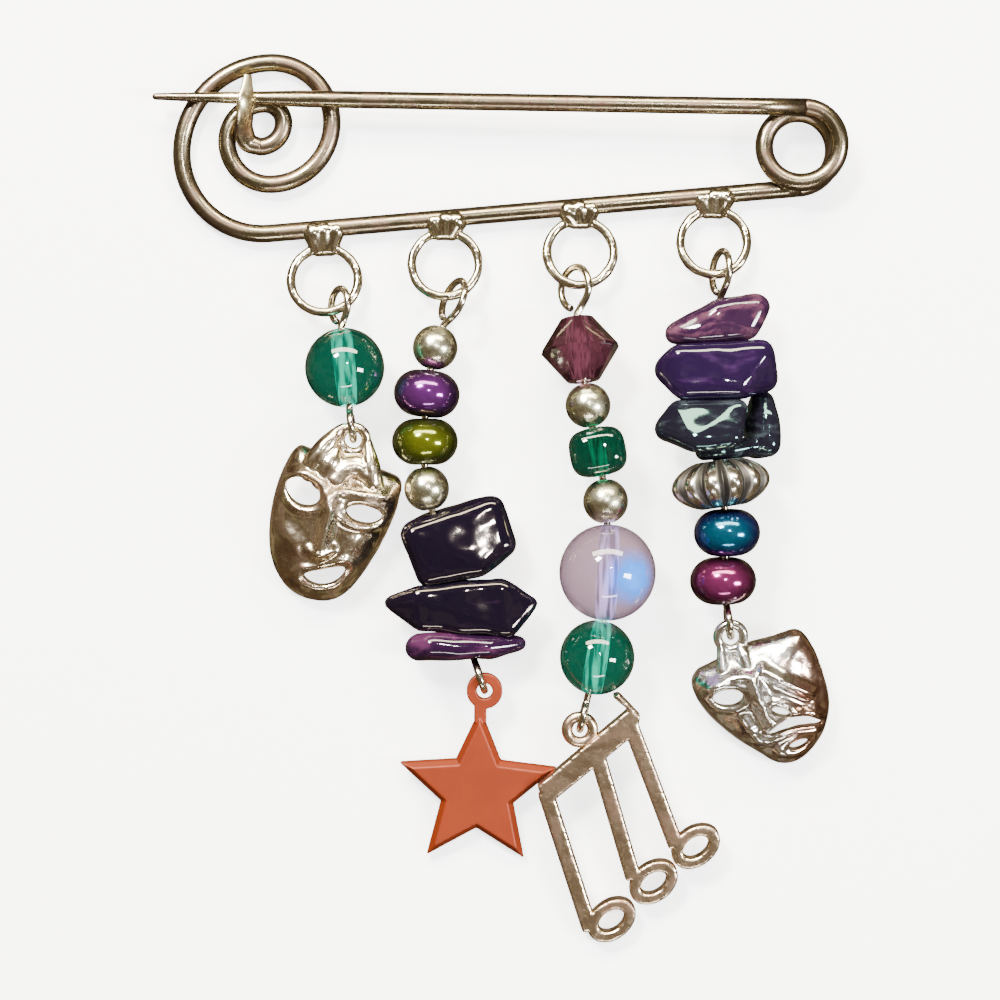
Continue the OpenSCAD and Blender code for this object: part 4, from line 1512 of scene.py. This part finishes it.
DROP_PLACES = {
    1: [(1.3, -2.16, 2.08), (1.8, -7.41, 3.35), (2.4, -12.26, 3.9)],
    2: [(0.7, -3.08, 2.4), (-0.8, -7.03, 2.6), (-1.5, -10.88, 2.85), (-1.65, -14.88, 2.9),
        (-1.5, -18.78, 2.8), (-0.1, -23.68, 2.7), (1.1, -28.28, 2.6), (2.15, -32.13, 2.45),
        (2.95, -34.53, 2.3)],
    3: [(-0.45, -3, 2.2), (-0.05, -8.2, 3.3), (0.6, -12.85, 3.6), (1.4, -16.7, 3.8),
        (2.05, -20.8, 3.95), (2.2, -26.7, 4.1), (1.36, -33.75, 3.68), (0.2, -38.65, 3.1)],
    4: [(0.5, -2.56, 2.4), (0.4, -6.41, 3), (0.1, -10.81, 3.4), (-0.4, -15.11, 3.8),
        (-0.1, -17.56, 3.95), (0.35, -20.21, 4.2), (0.9, -24.26, 4), (0.6, -28.26, 3.7),
        (1.1, -31.76, 3.35)],
}
UPPER_EYES = {1: (1.4, 57), 2: (1.75, 64), 3: (1.75, 50), 4: (1.75, 70)}


def smiling_mask() -> Mask:
    """Returns the smiling mask."""
    eyes = (Opening((-4.15, -4.1), 3.0, 2.2, -25), Opening((0.9, -6.0), 3.0, 1.5, -16))
    mouth = Opening((-2.45, -11.0), 3.5, 1.5, 12, -0.35)
    return Mask(
        "smiling_mask",
        ((3.85, -3.55), (3.7, -5.35), (2.9, -7.6), (1.4, -10.4), (-0.6, -13.0), (-2.7, -13.85),
         (-5.3, -13.0), (-6.85, -10.6), (-7.1, -7.4), (-6.35, -3.7), (-4.8, -0.8), (-3.3, -1.0),
         (-0.6, -1.9), (2.0, -2.6)),
        (-2.1, -7.4), 3.3, 1.15, eyes + (mouth,),
        (
            Ridge(((-1.75, -4.4), (-2.1, -6.5), (-2.75, -9.0)), 0.55, 0.95),
            Ridge(((-3.6, -8.9), (-2.7, -9.5), (-1.8, -8.9)), 0.4, 0.5),
            Ridge(((-5.7, -3.0), (-3.9, -2.3), (-2.1, -3.4)), 0.45, 0.55),
            Ridge(((-1.2, -3.9), (0.8, -4.2), (3.0, -4.6)), 0.5, 0.75),
            Ridge(((-5.9, -7.6), (-4.9, -8.4)), 0.9, 0.45),
            Ridge(((0.3, -8.4), (-0.6, -9.4)), 0.9, 0.4),
            Ridge(((-4.4, -12.6), (-2.6, -13.1), (-1.0, -12.3)), 0.45, 0.3),
        ),
        (
            ((-3.6, -2.6, 1.8, 0.85), (-2.9, -1.3, 1.8, 0.9), (-2.1, -0.3, 1.6, 0.8),
             (-1.45, 0.5, 1.3, 0.55), (-0.8, 1.0, 1.15, 0.4)),
            ((-2.6, -3.2, 1.9, 0.95), (-1.9, -1.9, 1.9, 0.95), (-1.5, -1.0, 1.6, 0.65)),
            ((1.6, -3.5, 2.0, 0.8), (1.5, -2.3, 1.8, 0.8), (1.35, -1.2, 1.5, 0.6),
             (1.2, -0.3, 1.2, 0.4)),
            ((-1.4, -3.2, 2.1, 0.9), (-0.6, -2.4, 1.9, 0.9), (0.4, -2.3, 1.8, 0.85),
             (1.4, -3.0, 1.9, 0.8)),
            ((-0.8, -2.0, 1.8, 0.75), (0.4, -1.9, 1.7, 0.7)),
        ),
    )


def frowning_mask() -> Mask:
    """Returns the frowning mask."""
    eyes = (Opening((-0.25, -4.85), 2.5, 1.5, 12), Opening((4.1, -5.9), 1.7, 0.7, -20))
    mouth = (Opening((5.4, -7.6), 4.6, 1.1, 10, 0.75), Opening((5.75, -8.95), 1.7, 0.8, 20))
    return Mask(
        "frowning_mask",
        ((5.6, 0.45), (6.9, -1.0), (7.9, -3.6), (8.35, -6.0), (7.75, -8.6), (6.1, -10.6),
         (4.25, -11.0), (2.25, -9.9), (0.25, -8.6), (-2.0, -6.5), (-3.15, -4.4), (-2.8, -3.1),
         (-1.6, -2.4), (-0.2, -1.6), (1.4, -0.7), (3.5, -0.1)),
        (3.0, -5.2), 3.0, 0.9, eyes + mouth,
        (
            Ridge(((1.9, -3.6), (2.6, -5.4), (3.2, -6.8)), 0.55, 0.9),
            Ridge(((-1.9, -4.0), (-0.1, -3.1), (1.7, -2.9)), 0.45, 0.65),
            Ridge(((2.6, -2.4), (4.6, -3.4), (6.6, -4.4)), 0.5, 0.75),
            Ridge(((6.9, -5.6), (7.3, -8.0)), 0.5, 0.4),
            Ridge(((0.9, -6.6), (2.3, -8.6)), 0.5, 0.4),
            Ridge(((4.2, -9.9), (6.2, -9.9)), 0.5, 0.35),
        ),
        (
            ((1.5, -2.6, 1.9, 0.65), (1.1, -1.6, 1.5, 0.55), (0.85, -0.95, 1.1, 0.42)),
            ((-0.6, -2.7, 1.5, 0.6), (-0.7, -1.6, 1.2, 0.48), (-0.8, -0.75, 0.95, 0.38)),
        ),
    )


def build_drops(routes: dict[int, np.ndarray]) -> None:
    """Builds the four drops.

    Args:
        routes: Each drop's route, in millimetres.
    """
    silver = Silver("bead_silver", (0.60, 0.58, 0.42), (0.22, 0.20, 0.13), 0.5, 0.24, 0.03,
                    0.5).material()
    wire = Silver("eye_wire", (0.66, 0.60, 0.48), (0.26, 0.18, 0.12), 0.4, 0.16, 0.01).material()
    teal = ClearGlass("teal_glass", (0.0002, 0.045, 0.026), (0.0, 0.013, 0.008)).material()
    # The core materials glow as painted light inside the clear beads.
    teal_core_glow = GlowingCore("teal_core_glow", (0.22, 1.0, 0.85), 4.5).material()
    green_core_glow = GlowingCore("green_core_glow", (0.10, 0.85, 0.55), 1.6).material()
    mauve = ClearGlass("mauve_glass", (0.045, 0.013, 0.020), (0.02, 0.005, 0.008), 0.7).material()
    mauve_core_glow = GlowingCore("mauve_core_glow", (0.85, 0.50, 0.62), 1.2).material()
    green = ClearGlass("green_glass", (0.0, 0.022, 0.012), (0.0, 0.006, 0.004), 0.8).material()
    # The lavender bead gets a painted blue glow on one side.
    lavender = ClearGlass("lavender_glass", (0.26, 0.18, 0.21), (0.10, 0.06, 0.09), 0.8,
                          (0.01, 0.20, 1.0), 1.6, (10.9, -6.7, 7.4), 3.0).material()
    pale_core_glow = GlowingCore("pale_core_glow", (0.62, 0.55, 1.0), 2.6).material()
    purple = CoatedGlass("purple_coat", (0.13, 0.025, 0.17), (0.035, 0.01, 0.05),
                         (0.03, 0.018, 0.012)).material()
    olive = CoatedGlass("olive_coat", (0.13, 0.15, 0.012), (0.035, 0.045, 0.006),
                        (0.02, 0.02, 0.006)).material()
    blue = CoatedGlass("blue_coat", (0.008, 0.10, 0.17), (0.006, 0.02, 0.09),
                       (0.02, 0.008, 0.05)).material()
    plum = CoatedGlass("plum_coat", (0.20, 0.025, 0.11), (0.06, 0.008, 0.03),
                       (0.02, 0.008, 0.012)).material()
    dark = Amethyst("dark_stone", (0.003, 0.002, 0.006), (0.018, 0.007, 0.022), 0.0, 0.3,
                    (1.0, 0.85, 0.72)).material()
    plum_stone = Amethyst("plum_stone", (0.012, 0.003, 0.016), (0.06, 0.015, 0.05), 0.0,
                          0.5).material()
    pink_stone = Amethyst("pink_stone", (0.020, 0.006, 0.024), (0.12, 0.045, 0.075), 0.15,
                          0.6).material()
    violet_stone = Amethyst("violet_stone", (0.008, 0.003, 0.018), (0.026, 0.009, 0.042), 0.0,
                            0.5).material()
    grey_stone = Amethyst("grey_stone", (0.006, 0.005, 0.010), (0.028, 0.036, 0.044), 0.0, 0.45,
                          (0.45, 1.0, 0.92)).material()
    antique = AntiqueSilver("antique_silver").material()
    form = BeadForm
    Drop(1, routes[1], *UPPER_EYES[1], [
        Bead("drop1_green_bead", form.ROUND, 6.6, 6.6, 1, teal, "teal_glass", teal_core_glow),
    ]).build(wire)
    Drop(2, routes[2], *UPPER_EYES[2], [
        Bead("drop2_silver_bead_top", form.ROUND, 3.75, 3.75, 1, silver, "silver_bead"),
        Bead("drop2_purple_seed", form.SEED, 5.5, 3.85, 2, purple, "purple_seed_glass"),
        Bead("drop2_olive_seed", form.SEED, 5.5, 3.85, 3, olive, "olive_seed_glass"),
        Bead("drop2_silver_bead_low", form.ROUND, 3.75, 3.75, 4, silver, "silver_bead"),
        StoneChip("drop2_chip_top", dark, "dark_amethyst", 1.3),
        StoneChip("drop2_chip_mid", dark, "dark_amethyst", 4.1),
        StoneChip("drop2_chip_low", plum_stone, "plum_amethyst", 7.7),
    ]).build(wire)
    Drop(3, routes[3], *UPPER_EYES[3], [
        Bead("drop3_bicone", form.BICONE, 6.5, 5.3, 1, mauve, "mauve_glass", mauve_core_glow),
        Bead("drop3_silver_bead_top", form.ROUND, 3.75, 3.75, 2, silver, "silver_bead"),
        Bead("drop3_cube_bead", form.CUBE, 4.7, 4.0, 3, green, "dark_green_glass", green_core_glow),
        Bead("drop3_silver_bead_low", form.ROUND, 3.75, 3.75, 4, silver, "silver_bead"),
        Bead("drop3_lavender_bead", form.ROUND, 8.0, 8.0, 5, lavender, "lavender_glass", pale_core_glow),
        Bead("drop3_green_bead", form.ROUND, 6.2, 6.2, 6, teal, "teal_glass", teal_core_glow),
    ]).build(wire)
    Drop(4, routes[4], *UPPER_EYES[4], [
        StoneChip("drop4_chip_top", pink_stone, "pale_amethyst", 2.2),
        StoneChip("drop4_chip_mid", violet_stone, "violet_amethyst", 5.9),
        StoneChip("drop4_chip_low", grey_stone, "grey_amethyst", 8.4),
        StoneChip("drop4_chip_side", grey_stone, "grey_amethyst", 9.6),
        Bead("drop4_rondelle", form.FLUTED, 8.3, 3.9, 5, antique, "antique_silver"),
        Bead("drop4_blue_seed", form.SEED, 5.5, 3.85, 6, blue, "blue_seed_glass"),
        Bead("drop4_plum_seed", form.SEED, 5.5, 3.85, 7, plum, "plum_seed_glass"),
    ]).build(wire)


def build_charms(routes: dict[int, np.ndarray]) -> None:
    """Builds the masks, the star and the notes.

    Args:
        routes: Each drop's route, in millimetres.
    """
    smile = Silver("smile_silver", (0.92, 0.80, 0.60), (0.36, 0.21, 0.15), 0.75, 0.17, 0.05,
                   0.9).material()
    frown = Silver("frown_silver", (0.98, 0.97, 0.95), (0.50, 0.46, 0.44), 0.4, 0.17, 0.05, 0.9,
                   (0.62, 0.36, 0.26), 23.2).material()
    plate = Silver("note_silver", (0.86, 0.68, 0.48), (0.30, 0.165, 0.11), 0.75, 0.22, 0.09,
                   1.2).material()
    smiling_mask().build(Hanger(routes[1], 11.5), smile)
    frowning_mask().build(Hanger(routes[4], 12.5), frown)
    FlatCharm("copper_star", "copper", 0.07, 3, 0.02).build(Copper("star_copper").material())
    FlatCharm("music_notes", "cast_silver", 0.09, 14, 0.09).build(plate)


def main() -> None:
    """Builds every part of the brooch in order, then the studio."""
    logging.basicConfig(level=logging.INFO, format="%(name)s: %(message)s")
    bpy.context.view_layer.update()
    pin = PinWire()
    routes = {number: pin.route(number, places) for number, places in DROP_PLACES.items()}
    # The pin wire's painted_highlight_at paints a highlight on the catch hook's top.
    wire = Silver("pin_silver", (0.34, 0.29, 0.185), (0.15, 0.09, 0.068), 0.8, 0.2, 0.02, 1.6,
                  painted_highlight_at=(-21.8, 33.4, 4.2))
    solder = Silver("ring_silver", (0.74, 0.67, 0.50), (0.30, 0.18, 0.12), 0.45, 0.15, 0.02, 0.8)
    pin.dress(wire, solder)
    build_drops(routes)
    build_charms(routes)
    Studio().build()


if __name__ == "__main__":
    main()
